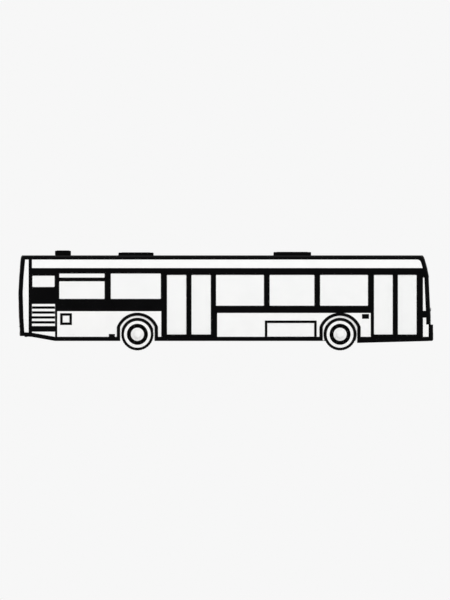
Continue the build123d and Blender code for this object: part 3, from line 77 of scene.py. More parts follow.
# Wheels, the radii first
WHITEWALL_OUT = 0.387
WHITEWALL_IN = 0.305
HUB_CAP_R = 0.192
NUT_CIRCLE_R = 0.155
HAND_HOLE_CIRCLE_R = 0.237
BEAD_SHARE = 0.72  # of a tyre's half width
TREAD_SHARE = 0.8  # of a tyre's half width
TREAD_BANDS = 5
TREAD_STEPS = 120
GROOVE_W = 0.009
GROOVE_DEPTH = 0.009
SIPE_DEPTH = 0.006
HAND_HOLES = 8
WHEEL_NUTS = 10
DISC_INSET = 0.06  # from the rim's face in to the outer wheel's disc

# Seats
BACK_HEIGHT = 0.62
LEAN = math.atan2(0.07, BACK_HEIGHT)
PERSON_W = 0.44
CUSHION_T = 0.06
UPRIGHT = Matrix.Rotation(math.pi / 2, 4, "Y")

# Panes and doors
GASKET_W = 0.012
GASKET_T = 0.005
GASKET_RADII = (0.027, 0.018)
DOOR_SEAL = 0.0055
LIP_OUT = 0.0085  # from a door leaf's face out to the face of its centre strip
SEAL_OUT = 0.014  # from a door leaf's face out to the face of the fixed seals
SEAL_IN = 0.048  # from a door leaf's face in to the back of the fixed seals
LIP_OFF = 0.002  # from a door leaf's face out to the back of the strip and the lips
LIP_OVER = 0.005  # how far the lips reach over a leaf
SLACK = 0.0002  # between a moving rubber and a fixed one
GRAB_BAR_Z = (0.95, 1.75)

# Nose and tail
WIPER_SPANS = ((-0.9, -0.12), (0.1, 0.88))  # pivot and tip of each
DISPLAY_HALF = 0.9
DISPLAY_Z = (2.165, 2.36)
NOSE_FLAP_HALF = 0.72
NOSE_LOCK_Y = 0.5
FOG_LAMP_Y = 0.96
FOG_LAMP_Z = 0.4
BRAKE_LIGHT_HALF = 0.14
BRAKE_LIGHT_Z = (2.335, 2.365)
PLATE_HALF = 0.26
PLATE_Z = (0.43, 0.54)
MARKS_Z = 0.485
REFLECTOR_Y = (0.88, 0.98)
PLATE_BLOCK_Y = (0.285, 0.32)
FLAP_HANDLE_Y = 0.4
GRILLE_SLATS = 9
GRILLE_PITCH = 0.042
GRILLE_HALF = 0.55

# Body
LINER_T = 0.004
LINER_FOOT = 0.12  # from the axle up to the foot of a wheelhouse liner
STRIP_R = 0.115  # round of the white strips' front top corners
STRIP_T = 0.002
STRIP_OVER = 0.004
STRIP_STEPS = 10
# The black screen behind the engine louvres is painted shade for the engine bay
SCREEN_T = 0.003
SCREEN_BARS = 34
FLANGE_LIFT = 0.006  # from the tyre's face out to an arch flange
FLANGE_T = 0.006
FLANGE_GAP = 0.012  # from the tread out to an arch flange
FLANGE_STEPS = 96
POCKET_INSET = 0.02
POCKET_RIBS = 7
HATCH_RIBS = 4
SLAT_H = 0.008
ROOF_SLATS = 9

# Engine and cabin
CYLINDERS = 6
MANIFOLD_INSET = 0.075
STOP_BUTTON_Z = (1.3, 1.37)
LIGHTS = 8
LIGHT_Y = 0.72
LIGHT_INSET = 0.9  # from the roof panel's ends
DIAL_Y = 0.73
DIAL_PITCH = 0.16
SWITCHES = 8
SWITCH_Y = 0.25
SWITCH_PITCH = 0.035


def islands(node):
    """Lowest and highest corner of each solid in a CAD node, from tail to nose."""
    bm = bmesh.new()
    bm.from_mesh(NODES[node].data)
    bmesh.ops.remove_doubles(bm, verts=bm.verts, dist=1e-5)
    seen, found = set(), []
    for start in bm.verts:
        if start in seen:
            continue
        group, queue = [], [start]
        seen.add(start)
        while queue:
            vert = queue.pop()
            group.append(vert.co)
            for edge in vert.link_edges:
                other = edge.other_vert(vert)
                if other not in seen:
                    seen.add(other)
                    queue.append(other)
        found.append([Vector(pick(co[i] for co in group) for i in range(3)) for pick in (min, max)])
    bm.free()
    return sorted(found, key=lambda box: (round(box[0].x, 3), round(box[0].y, 3), round(box[0].z, 3)))


TREES = {}


def surface(node, origin, direction):
    """Where a ray first meets a CAD node, and the surface's normal there."""
    if node not in TREES:
        mesh = NODES[node].data
        TREES[node] = BVHTree.FromPolygons([v.co for v in mesh.vertices], [p.vertices for p in mesh.polygons])
    point, normal, _, _ = TREES[node].ray_cast(Vector(origin), Vector(direction))
    return point, normal


def at_end(node, y, z, way=-1):
    """A node's surface met from the nose, or from the tail where way is 1."""
    return surface(node, (-way * PROBE_X, y, z), (way, 0, 0))


def from_door_side(node, x, z):
    """A node's surface met from the door side."""
    return surface(node, (x, -PROBE_Y, z), (0, 1, 0))


def from_above(node, x, y):
    """A node's surface met from above."""
    return surface(node, (x, y, PROBE_Z), (0, 0, -1))


def about(middle, half):
    """The two ends of a length about its middle."""
    return middle - half, middle + half


# Materials

MATERIALS = {}


class Finish:
    """A Principled material and the textures that feed it. Underscores stand for spaces in sockets' names."""

    def __init__(self, name, colour, roughness, **sockets):
        self.material = bpy.data.materials.new(name)
        self.material.use_nodes = True
        self.colour = colour
        self.tree = self.material.node_tree
        self.bsdf = self.tree.nodes["Principled BSDF"]
        self.fill(self.bsdf, Base_Color=(*colour, 1), Roughness=roughness, **sockets)
        MATERIALS[name] = self.material

    def fill(self, node, **values):
        """Gives inputs their values or the outputs that feed them, and sets what isn't an input."""
        for key, value in values.items():
            socket = node.inputs.get(key.replace("_", " "))
            if socket is None:
                setattr(node, key, value)
            elif isinstance(value, bpy.types.NodeSocket):
                self.tree.links.new(value, socket)
            else:
                socket.default_value = value
        return node

    def node(self, kind, **values):
        """A new shader node with its inputs and settings filled in."""
        return self.fill(self.tree.nodes.new(kind), **values)

    def place(self, scale=(1, 1, 1)):
        """Object coordinates in metres, stretched by a scale."""
        source = self.node("ShaderNodeTexCoord").outputs["Object"]
        return self.node("ShaderNodeMapping", Vector=source, Scale=scale).outputs["Vector"]

    def noise(self, size, detail=3, scale=(1, 1, 1)):
        """A noise texture whose blotches are about a size in metres."""
        node = self.node("ShaderNodeTexNoise", Scale=1 / size, Detail=detail, Vector=self.place(scale))
        return node.outputs["Fac"]

    def bump(self, height, depth, strength):
        """Bump from a height output, with depth in metres."""
        node = self.node("ShaderNodeBump", Distance=depth, Strength=strength, Height=height)
        self.fill(self.bsdf, Normal=node.outputs["Normal"])

    def tones(self, fac, dark, light, low=0.35, high=0.65):
        """Base colour from a dark to a light share of itself, or between two colours, along a texture."""
        ramp = self.node("ShaderNodeValToRGB", Fac=fac)
        for element, spot, tone in zip(ramp.color_ramp.elements, (low, high), (dark, light)):
            if isinstance(tone, float):
                tone = tuple(min(1.0, c * tone) for c in self.colour)
            element.position = spot
            element.color = (*tone, 1)
        self.fill(self.bsdf, Base_Color=ramp.outputs["Color"])

    def shine(self, fac, low, high):
        """Roughness that follows a texture."""
        node = self.node("ShaderNodeMapRange", To_Min=low, To_Max=high, Value=fac)
        self.fill(self.bsdf, Roughness=node.outputs["Result"])


def painted(name, colour, roughness, coat, contrast=0.03, **sockets):
    """Sprayed panels: faint tone changes, orange peel and a clear coat."""
    finish = Finish(name, colour, roughness, Coat_Weight=coat, Coat_Roughness=0.08, **sockets)
    finish.tones(finish.noise(0.6, 5), 1 - contrast, 1 + contrast / 3)
    finish.shine(finish.noise(0.15), roughness * 0.8, roughness * 1.25)
    finish.bump(finish.noise(0.004, 1), 0.0002, 0.35)


def moulded(name, colour, roughness, grain=0.0012, depth=0.0003, contrast=0.15, **sockets):
    """Moulded plastic or rubber with a fine pebbled grain."""
    finish = Finish(name, colour, roughness, **sockets)
    finish.tones(finish.noise(0.05, 4), 1 - contrast, 1 + contrast)
    finish.shine(finish.noise(0.08), roughness * 0.85, min(1.0, roughness * 1.15))
    finish.bump(finish.noise(grain, 2), depth, 0.6)


def pane(name, alpha):
    """Glass whose pale, nearly opaque base colour is a painted reflection of bright surroundings, letting
    some of the cabin show.
    """
    finish = Finish(name, (0.965, 0.968, 0.966), 0.04, Alpha=alpha, IOR=1.45, Specular_IOR_Level=0.4)
    finish.tones(finish.noise(0.9, 2), (0.955, 0.96, 0.957), (0.975, 0.978, 0.975))


def woven(name, colour):
    """Hard-wearing seat cloth with a twill of two close tones."""
    finish = Finish(name, colour, 0.9, Sheen_Weight=0.35, Sheen_Roughness=0.5)
    twill = {"Scale": 420.0, "Distortion": 1.2, "bands_direction": "DIAGONAL"}
    weave = finish.node("ShaderNodeTexWave", Vector=finish.place(), **twill).outputs["Fac"]
    finish.tones(weave, 0.72, 1.12, 0.2, 0.8)
    finish.bump(weave, 0.0006, 0.7)


def brushed(name, colour, roughness, scale):
    """Brushed metal with fine lines along the axis of least scale."""
    finish = Finish(name, colour, roughness, Metallic=1.0)
    lines = finish.noise(0.02, 6, scale)
    finish.shine(lines, roughness * 0.7, roughness * 1.3)
    finish.bump(lines, 0.0001, 0.15)


def flecked(name, colour):
    """Safety vinyl with small light and dark flecks."""
    finish = Finish(name, colour, 0.7)
    cells = finish.node("ShaderNodeTexVoronoi", Scale=260.0, Vector=finish.place())
    finish.tones(cells.outputs["Color"], 0.6, 1.35, 0.2, 0.85)
    finish.bump(cells.outputs["Distance"], 0.0004, 0.5)


def lens(name, colour, alpha=1.0):
    """Coloured lamp lens with fine upright ribs."""
    finish = Finish(name, colour, 0.12, Alpha=alpha, IOR=1.5, Coat_Weight=0.2)
    wave = finish.node("ShaderNodeTexWave", Scale=LENS_RIBS, bands_direction="Y", Vector=finish.place())
    finish.bump(wave.outputs["Fac"], 0.0015, 0.6)
    finish.tones(wave.outputs["Fac"], 0.8, 1.1, 0.1, 0.9)


def cast(name, colour):
    """Rough cast metal with oily patches."""
    finish = Finish(name, colour, 0.6, Metallic=0.5)
    finish.tones(finish.noise(0.12, 6), 0.5, 1.3)
    finish.shine(finish.noise(0.07, 4), 0.4, 0.8)
    finish.bump(finish.noise(0.006, 5), 0.001, 0.6)


painted("white_paint", PANEL_WHITE, 0.32, 0.25, 0.02)
painted("black_paint", INK_BLACK, 0.38, 0.0, 0.3, Specular_IOR_Level=INK_SHINE)
moulded("black_rubber", INK_BLACK, 0.6, Specular_IOR_Level=INK_SHINE)
# the window glass's pale base colour at alpha 0.92 is a painted reflection that keeps the panes white
pane("tinted_glass", 0.92)
moulded("tyre", (0.004, 0.004, 0.004), 0.75, 0.003, 0.0006, Specular_IOR_Level=0.05)
moulded("white_rubber", (0.93, 0.93, 0.925), 0.6, 0.003, 0.0004, 0.02)
painted("wheel_steel", (0.94, 0.94, 0.935), 0.35, 0.15)
painted("wheel_black", INK_BLACK, 0.36, 0.0, 0.3, Specular_IOR_Level=INK_SHINE)
moulded("frame_steel", (0.06, 0.061, 0.062), 0.6, 0.01, 0.0005, 0.25)
flecked("floor_cover", VINYL_GREY)
moulded("seat_shell", SHELL_GREY, 0.45, 0.0015, 0.0002, 0.04)
woven("seat_cloth", SEAT_GREY)
brushed("rail_steel", (0.72, 0.72, 0.72), 0.28, (1, 1, 0.05))
moulded("cab_trim", (0.22, 0.225, 0.23), 0.55, 0.002, 0.0003, 0.03)
cast("engine_iron", (0.13, 0.13, 0.13))
lens("head_lamp", (0.82, 0.84, 0.85), 0.35)
lens("tail_lamp", (0.42, 0.004, 0.004))
lens("amber_lamp", (0.75, 0.23, 0.015))
lens("clear_lamp", (0.85, 0.86, 0.86))
moulded("liner", (0.86, 0.86, 0.85), 0.6, 0.003, 0.0003, 0.02)
Finish("reflector", (0.9, 0.9, 0.9), 0.08, Metallic=1.0)
painted("display_glass", (0.004, 0.004, 0.004), 0.16, 0.0, 0.2, Specular_IOR_Level=0.12)
painted("plate", (0.8, 0.8, 0.78), 0.4, 0.2)
Finish("light_strip", (0.95, 0.95, 0.93), 0.4, Emission_Color=(1, 1, 1, 1), Emission_Strength=5.0)
bpy.context.view_layer.update()


def dress_nodes():
    """The finish of each CAD node, from its slot in the record."""
    slots = {part["node"]: part["material_slot"] for part in frame["record"]["subparts"]}
    for name, obj in NODES.items():
        obj.data.materials.clear()
        obj.data.materials.append(MATERIALS[slots[name]])


# Mesh making


class Maker:
    """Collects solids into one mesh, each with its own material."""

    def __init__(self, name):
        self.name = name
        self.bm = bmesh.new()
        self.materials = []

    def add(self, other, material="black_rubber", smooth=True, matrix=None):
        """Takes in a bmesh, which is freed."""
        if matrix is not None:
            other.transform(matrix)
        if material not in self.materials:
            self.materials.append(material)
        mesh = bpy.data.meshes.new("part")
        other.to_mesh(mesh)
        other.free()
        first = len(self.bm.faces)
        self.bm.from_mesh(mesh)
        bpy.data.meshes.remove(mesh)
        self.bm.faces.ensure_lookup_table()
        for face in self.bm.faces[first:]:
            face.material_index = self.materials.index(material)
            face.smooth = smooth

    def block(self, xs, ys, zs, radius, material="black_rubber", segments=2, matrix=None):
        """A box with rounded edges, from its two ends along each axis in any order."""
        low, high = (Vector(pick(ends) for ends in (xs, ys, zs)) for pick in (min, max))
        size = high - low
        bm = bmesh.new()
        bmesh.ops.create_cube(bm, size=1)
        bm.transform(Matrix.Translation((low + high) / 2) @ Matrix.Diagonal((*size, 1)))
        limit = min(radius, min(size) * 0.49)
        rules = {"segments": segments, "profile": 0.5, "affect": "EDGES", "clamp_overlap": True}
        bmesh.ops.bevel(bm, geom=bm.edges[:], offset=limit, **rules)
        self.add(bm, material, matrix=matrix)

    def done(self, body="chassis", slot="black_rubber", stands_for=(), sharp=40):
        """The piece as an object that rides on a body."""
        mesh = bpy.data.meshes.new(self.name)
        self.bm.to_mesh(mesh)
        self.bm.free()
        for name in self.materials:
            mesh.materials.append(MATERIALS[name])
        mesh.set_sharp_from_angle(angle=math.radians(sharp))
        obj = bpy.data.objects.new(self.name, mesh)
        bpy.context.scene.collection.objects.link(obj)
        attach(obj, body)
        if stands_for:
            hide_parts(*stands_for)
        return obj


def skin(bm, rings):
    """Faces between each ring of points and the next."""
    for one, two in zip(rings, rings[1:]):
        for k in range(len(one)):
            nxt = (k + 1) % len(one)
            bm.faces.new((one[k], one[nxt], two[nxt], two[k]))


def closed(bm, rings):
    """A solid through rings of points, closed at both ends."""
    skin(bm, rings)
    bm.faces.new(rings[0][::-1])
    bm.faces.new(rings[-1])
    bmesh.ops.recalc_face_normals(bm, faces=bm.faces)
    return bm


def lathe(points, centre, outward, steps, edit=None):
    """A section of (radius, offset) turned about the axle. edit may move a point's radius."""
    bm = bmesh.new()
    rings = []
    for k in range(steps):
        angle = math.tau * k / steps
        ring = []
        for n, (r, off) in enumerate(points):
            radius = edit(k, n, r) if edit else r
            x, z = radius * math.cos(angle), radius * math.sin(angle)
            ring.append(bm.verts.new((centre.x + x, centre.y + outward * off, centre.z + z)))
        rings.append(ring)
    count = len(points)
    for k in range(steps):
        one, two = rings[k], rings[(k + 1) % steps]
        for n in range(count - 1):
            corners = [one[n], two[n], two[n + 1], one[n + 1]]
            if points[n][0] < 1e-6:
                corners = [one[n], two[n + 1], one[n + 1]]
            elif points[n + 1][0] < 1e-6:
                corners = [one[n], two[n], one[n + 1]]
            bm.faces.new(corners)
    bmesh.ops.remove_doubles(bm, verts=bm.verts, dist=1e-6)
    bmesh.ops.recalc_face_normals(bm, faces=bm.faces)
    return bm


def ring_boss(points, centre, normal, steps):
    """A small turned fitting on a surface: (radius, height) points about its normal."""
    bm = lathe(points, Vector((0, 0, 0)), 1, steps)
    turn = normal.to_track_quat("Y", "Z").to_matrix().to_4x4()
    bm.transform(Matrix.Translation(centre) @ turn)
    return bm


def disc(centre, normal, radius, height, steps=24, crown=0.0):
    """A short round boss on a surface, its end slightly domed."""
    bm = bmesh.new()
    turns = [math.tau * k / steps for k in range(steps)]
    rings = []
    for r, h in ((radius, 0.0), (radius, height * 0.7), (radius * 0.9, height)):
        rings.append([bm.verts.new((r * math.cos(turn), r * math.sin(turn), h)) for turn in turns])
    tip = bm.verts.new((0, 0, height + crown))
    skin(bm, rings)
    for k in range(steps):
        bm.faces.new((rings[-1][k], rings[-1][(k + 1) % steps], tip))
    bm.faces.new(rings[0][::-1])
    turn = Vector(normal).to_track_quat("Z", "Y").to_matrix().to_4x4()
    bm.transform(Matrix.Translation(centre) @ turn)
    return bm


def tube(points, radius, steps=12):
    """A round tube along straight runs, mitred at its corners and closed at its ends."""
    bm = bmesh.new()
    points = [Vector(p) for p in points]
    rings = []
    for n, point in enumerate(points):
        before = (point - points[n - 1]).normalized() if n else None
        after = (points[n + 1] - point).normalized() if n + 1 < len(points) else None
        before, after = before or after, after or before
        along = (before + after).normalized()
        stretch = 1 / max(0.3, along.dot(before))
        side = (last - along * last.dot(along)).normalized() if rings else along.orthogonal().normalized()
        last = side
        up = along.cross(side)
        corner = after - before
        ring = []
        for k in range(steps):
            angle = math.tau * k / steps
            offset = (side * math.cos(angle) + up * math.sin(angle)) * radius
            if corner.length > 1e-6:
                out = corner.normalized()
                offset += out * offset.dot(out) * (stretch - 1)
            ring.append(bm.verts.new(point + offset))
        rings.append(ring)
    return closed(bm, rings)


def rounded_loop(x0, x1, z0, z1, radius, steps=5):
    """Points of a round-cornered rectangle."""
    loop = []
    corners = ((x1, z1, 0), (x0, z1, 1), (x0, z0, 2), (x1, z0, 3))
    for x, z, quarter in corners:
        cx = x - math.copysign(radius, x - (x0 + x1) / 2)
        cz = z - math.copysign(radius, z - (z0 + z1) / 2)
        for k in range(steps + 1):
            angle = math.pi / 2 * (quarter + k / steps)
            loop.append((cx + radius * math.cos(angle), cz + radius * math.sin(angle)))
    return loop


def side_frame(maker, side, y, low, high, insets=(0.0, GASKET_W), radii=GASKET_RADII):
    """A raised rubber frame on a side of the bus, between two loops set in from a box's edges."""
    pairs = zip(insets, radii)
    outer, inner = (rounded_loop(low.x + d, high.x - d, low.z + d, high.z - d, r) for d, r in pairs)
    middle = [((a[0] + b[0]) / 2, (a[1] + b[1]) / 2) for a, b in zip(outer, inner)]
    rows = ((outer, 0.0), (outer, 0.6), (middle, 1.0), (inner, 0.6), (inner, 0.0))
    bm = bmesh.new()
    skin(bm, [[bm.verts.new((x, y + side * GASKET_T * h, z)) for x, z in loop] for loop, h in rows])
    bmesh.ops.recalc_face_normals(bm, faces=bm.faces)
    maker.add(bm)


def end_sheet(maker, node, half, zs, out, material, way=-1, steps=12):
    """A thin cover laid over a node's surface at the nose, or at the tail where way is 1."""
    bm = bmesh.new()
    rings = []
    heights = (zs[0], zs[0] + (zs[1] - zs[0]) / 2, zs[1])
    for j in range(steps + 1):
        y = -half + 2 * half * j / steps
        row = [(at_end(node, y, z, way)[0].x, z) for z in heights]
        ring = [(x - way * 0.0005, y, z) for x, z in row] + [(x - way * out, y, z) for x, z in row[::-1]]
        rings.append([bm.verts.new(point) for point in ring])
    maker.add(closed(bm, rings), material)


# Wheels


def tyre_section(half, outer):
    """Section of a tyre as (radius, offset), the number of its first tread point, and how many there are."""
    points = [(0.29, -half * BEAD_SHARE), (0.30, -half * 0.9), (WHITEWALL_IN, -half * 0.97), (0.34, -half)]
    points += [(WHITEWALL_OUT, -half), (0.41, -half * 0.995), (0.43, -half * 0.985), (0.452, -half * 0.94)]
    points += [(0.463, -half * 0.86)]
    tread = []
    width, floor = half * TREAD_SHARE, outer - GROOVE_DEPTH
    for n in range(TREAD_BANDS):
        left = -width + 2 * width * n / TREAD_BANDS
        right = -width + 2 * width * (n + 1) / TREAD_BANDS
        tread += [(outer, left + GROOVE_W / 2), (outer, right - GROOVE_W / 2)]
        if n + 1 < TREAD_BANDS:
            tread += [(floor, right - GROOVE_W / 2 + 0.001), (floor, right + GROOVE_W / 2 - 0.001)]
    mirrored = [(r, -off) for r, off in points[::-1]]
    return points + tread + mirrored, len(points), len(tread)


def tyre(maker, centre, side, half, outer, showing):
    """A tyre with grooved tread; showing is true where its white sidewall faces out."""
    points, start, count = tyre_section(half, outer)

    def cut(k, n, r):
        """Sideways cuts across the blocks and through the shoulders."""
        across = start <= n < start + count and r == outer
        if k % 3 == 0 and (across or n in (start - 1, start + count)):
            return r - SIPE_DEPTH
        return r

    maker.add(lathe(points, centre, side, TREAD_STEPS, cut), "tyre")
    if showing:
        ring = [(WHITEWALL_IN, half * 0.97 - 0.004), (WHITEWALL_IN, half * 0.97 + 0.0006)]
        ring += [(0.34, half + 0.001), (WHITEWALL_OUT - 0.001, half + 0.001), (WHITEWALL_OUT, half - 0.004)]
        maker.add(lathe(ring, centre, side, TREAD_STEPS), "white_rubber")


def wheel_face(maker, centre, side, half, out, outer_wheel):
    """Rim, disc with hand holes, nuts and hub cap. out is how far the disc stands out from the middle."""
    edge = half * BEAD_SHARE
    rim_points = [
        (0.255, -edge), (0.29, -edge), (0.302, -edge + 0.006), (0.302, -edge + 0.012), (0.289, -edge + 0.02),
        (0.285, -0.03), (0.285, 0.03), (0.289, edge - 0.02), (0.302, edge - 0.012), (0.302, edge - 0.004),
        (0.29, edge), (0.276, edge - 0.004), (0.27, edge - 0.03), (0.262, out), (0.255, out - 0.01),
        (0.255, -edge),
    ]
    maker.add(lathe(rim_points, centre, side, 72), "wheel_black")
    if not outer_wheel:
        return
    face = [(0.268, out - 0.006), (0.258, out + 0.004), (0.235, out + 0.012), (0.2, out + 0.016)]
    face += [(0.15, out + 0.016), (0.11, out + 0.016), (0.11, out), (0.2, out), (0.255, out - 0.01)]
    maker.add(lathe(face, centre, side, 72), "wheel_black")
    ring = [(0.016, 0.0), (0.0165, 0.003), (0.0125, 0.003), (0.0115, -0.006), (0.0, -0.006)]
    for k in range(HAND_HOLES):
        turn = math.tau * (k + 0.5) / HAND_HOLES
        x, z = HAND_HOLE_CIRCLE_R * math.cos(turn), HAND_HOLE_CIRCLE_R * math.sin(turn)
        spot = centre + Vector((x, side * (out + 0.0105), z))
        maker.add(ring_boss(ring, spot, Vector((0, side, 0)), 16), "frame_steel")
    cap = [(HUB_CAP_R, out + 0.012), (HUB_CAP_R, out + 0.024), (HUB_CAP_R - 0.006, out + 0.03)]
    cap += [(0.125, out + 0.034), (0.112, out + 0.042), (0.1, out + 0.056)]
    cap += [(0.06, out + 0.066), (0.0, out + 0.069)]
    maker.add(lathe(cap, centre, side, 64), "wheel_steel")
    for k in range(WHEEL_NUTS):
        turn = math.tau * k / WHEEL_NUTS
        x, z = NUT_CIRCLE_R * math.cos(turn), NUT_CIRCLE_R * math.sin(turn)
        spot = centre + Vector((x, side * (out + 0.033), z))
        maker.add(disc(spot, (0, side, 0), 0.0125, 0.014, 6), "wheel_steel", smooth=False)


def wheels():
    """All four wheels over their CAD tyres and rims."""
    stems = (("front_", "tyre_front_", "rim_front_"), ("rear_", "tyres_rear_", "rims_rear_"))
    for end, tyre_stem, rim_stem in stems:
        for word, side in SIDES:
            tyre_node, rim_node = tyre_stem + word, rim_stem + word
            boxes = sorted(islands(tyre_node), key=lambda box: -side * (box[0].y + box[1].y))
            rim_low, rim_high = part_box(rim_node)
            rubber, metal = Maker("tyres_" + end + word), Maker("wheel_" + end + word)
            for n, (low, high) in enumerate(boxes):
                centre, half = (low + high) / 2, (high.y - low.y) / 2
                tyre(rubber, centre, side, half, (high.z - low.z) / 2, n == 0)
                face = max(side * rim_low.y, side * rim_high.y) - side * centre.y
                wheel_face(metal, centre, side, half, face - DISC_INSET if n == 0 else 0.0, n == 0)
            rubber.done(BODY_OF[tyre_node], "tyre", [tyre_node], 50)
            metal.done(BODY_OF[tyre_node], "wheel_steel", [rim_node], 35)


# Glazing, seals and doors


def gaskets():
    """A rubber gasket round each side pane."""
    maker = Maker("window_gaskets")
    for low, high in islands("window_panes"):
        if high.y - low.y > 0.5:
            continue
        side = 1 if low.y > 0 else -1
        side_frame(maker, side, high.y if side > 0 else low.y, low, high)
    maker.done()


def door_fittings():
    """Rubber edge, pane gasket and inner grab bar of each door leaf, and the strip between two leaves."""
    for node in sorted(name for name in NODES if name.startswith("door_leaf_")):
        word = node.replace("door_leaf_", "")
        maker = Maker("door_trim_" + word)
        low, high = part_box(node)
        pane_low, pane_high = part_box("door_glass_" + word)
        leads_up = word.endswith("_a")
        edge = high.x if leads_up else low.x
        seal = DOOR_SEAL if leads_up else -DOOR_SEAL
        ys = low.y + 0.006, low.y + 0.034
        maker.block((edge, edge + seal), ys, (low.z + 0.001, high.z - 0.001), 0.001, segments=1)
        if leads_up:
            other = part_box(node[:-1] + "b")[0].x
            zs = low.z + 2 * LIP_OVER + SLACK, high.z - 2 * LIP_OVER - SLACK
            maker.block((edge - LIP_OVER, other + LIP_OVER), (low.y - LIP_OUT, low.y - LIP_OFF), zs, 0.002)
            maker.block((edge - 0.002, edge + 0.004), (low.y - LIP_OUT, low.y + 0.01), zs, 0.001, segments=1)
        side_frame(maker, -1, pane_low.y, pane_low, pane_high)
        x = pane_low.x - 0.02 if leads_up else pane_high.x + 0.02
        face, (foot, top) = low.y + 0.04, GRAB_BAR_Z
        bar = [(x, face + 0.001, foot), (x, face + 0.03, foot + 0.03)]
        bar += [(x, face + 0.03, top - 0.03), (x, face + 0.001, top)]
        maker.add(tube(bar, 0.011), "rail_steel")
        maker.done(BODY_OF[node])


# Seats


def cushion(size, crown, channels, steps=(10, 8)):
    """A crowned pad, x deep, y wide and z thick about the origin, with sewn channels across its depth."""
    bm = bmesh.new()
    nx, ny = steps
    grid = {}
    for s in (1, -1):
        for i in range(nx + 1):
            for j in range(ny + 1):
                u, v = 2 * i / nx - 1, 2 * j / ny - 1
                border = i in (0, nx) or j in (0, ny)
                if border and s < 0:
                    grid[s, i, j] = grid[1, i, j]
                    continue
                pull = 1 - 0.06 * (u * u + v * v - u * u * v * v)
                x, y = u * size[0] / 2 * pull, v * size[1] / 2 * pull
                fall = max(0.0, 1 - abs(u) ** 4) * max(0.0, 1 - abs(v) ** 4)
                z = 0.0 if border else s * size[2] / 2 * (0.55 + 0.45 * fall ** 0.5)
                if s > 0 and not border:
                    z += crown * fall
                    for c in channels:
                        z -= 0.006 * math.exp(-(((v - c) / 0.07) ** 2))
                grid[s, i, j] = bm.verts.new((x, y, z))
    for s in (1, -1):
        for i in range(nx):
            for j in range(ny):
                corners = [grid[s, i, j], grid[s, i + 1, j], grid[s, i + 1, j + 1], grid[s, i, j + 1]]
                bm.faces.new(corners if s > 0 else corners[::-1])
    bmesh.ops.subdivide_edges(bm, edges=bm.edges[:], cuts=1, use_grid_fill=True, smooth=0.6)
    return bm


def seat_unit(shells, pads, x, y, sit_z, depth):
    """One place: moulded seat and back, each with its pad."""
    half = PERSON_W / 2 - 0.008
    front, foot = x + depth, sit_z - CUSHION_T
    shells.block((x + 0.06, front), about(y, half), (foot, foot + 0.022), 0.012, "seat_shell", 3)
    hinge = Matrix.Translation((x + 0.075, y, sit_z - 0.03)) @ Matrix.Rotation(-LEAN, 4, "Y")
    shells.block((-0.012, 0.012), (-half, half), (0.0, BACK_HEIGHT + 0.025), 0.011, "seat_shell", 3, hinge)
    seat_pad = cushion((depth - 0.11, 2 * half - 0.03, 0.034), 0.006, (-0.33, 0.33))
    pads.add(seat_pad, "seat_cloth", matrix=Matrix.Translation(((x + front) / 2 + 0.035, y, sit_z - 0.02)))
    back_pad = cushion((BACK_HEIGHT - 0.1, 2 * half - 0.03, 0.03), 0.006, (-0.33, 0.33))
    place = hinge @ Matrix.Translation((0.026, 0, BACK_HEIGHT / 2 + 0.02)) @ UPRIGHT
    pads.add(back_pad, "seat_cloth", matrix=place)


def seats():
    """Passenger seats over their CAD blocks."""
    shells, pads = Maker("seat_shells"), Maker("seat_pads")
    for low, high in islands("passenger_seats"):
        places = max(1, round((high.y - low.y) / PERSON_W - 0.2))
        sit_z, pitch = high.z - BACK_HEIGHT, (high.y - low.y) / places
        for n in range(places):
            seat_unit(shells, pads, low.x, low.y + (n + 0.5) * pitch, sit_z, high.x - low.x)
        foot, under = low.z, sit_z - CUSHION_T
        middle = (low.y + high.y) / 2
        x = low.x + 0.07 + (high.x - low.x - 0.07) / 2
        if under - foot > 0.05:
            shells.block(about(x, 0.03), about(middle, 0.03), (foot, under), 0.008, "frame_steel")
            shells.block(about(x, 0.09), about(middle, 0.12), (foot, foot + 0.012), 0.004, "frame_steel")
        ys = low.y + 0.02, high.y - 0.02
        shells.block((x - 0.18, x + 0.16), ys, (under - 0.02, under + 0.002), 0.006, "frame_steel")
    shells.done(slot="seat_shell", stands_for=["passenger_seats"])
    pads.done(slot="seat_shell", stands_for=["passenger_seats"])


def driver_seat():
    """Sprung driver's seat with a high back and two pads."""
    low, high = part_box("driver_seat")
    hard, soft = Maker("driver_seat_frame"), Maker("driver_seat_pads")
    sit_z = high.z - BACK_HEIGHT
    y, half, depth = (low.y + high.y) / 2, (high.y - low.y) / 2 - 0.01, high.x - low.x
    hard.block((low.x + 0.1, high.x - 0.05), about(y, 0.13), (low.z, low.z + 0.16), 0.02, "frame_steel")
    hard.block((low.x + 0.13, high.x - 0.09), about(y, 0.1), (low.z + 0.16, sit_z - 0.1), 0.03, segments=3)
    zs = sit_z - 0.1, sit_z - 0.06
    hard.block((low.x + 0.06, high.x - 0.02), about(y, half), zs, 0.015, "cab_trim", 3)
    hinge = Matrix.Translation((low.x + 0.075, y, sit_z - 0.05)) @ Matrix.Rotation(-LEAN, 4, "Y")
    hard.block((-0.02, 0.012), (-half, half), (0.0, BACK_HEIGHT + 0.04), 0.012, "cab_trim", 3, hinge)
    seat_pad = cushion((depth - 0.12, 2 * half - 0.02, 0.07), 0.01, (-0.5, 0.5))
    soft.add(seat_pad, "seat_cloth", matrix=Matrix.Translation((low.x + depth / 2 + 0.03, y, sit_z - 0.035)))
    back_pad = cushion((BACK_HEIGHT - 0.05, 2 * half - 0.02, 0.05), 0.01, (-0.5, 0.5))
    place = hinge @ Matrix.Translation((0.034, 0, BACK_HEIGHT / 2 + 0.03)) @ UPRIGHT
    soft.add(back_pad, "seat_cloth", matrix=place)
    hard.done(slot="cab_trim", stands_for=["driver_seat"])
    soft.done(slot="cab_trim", stands_for=["driver_seat"])


# Nose and tail fittings


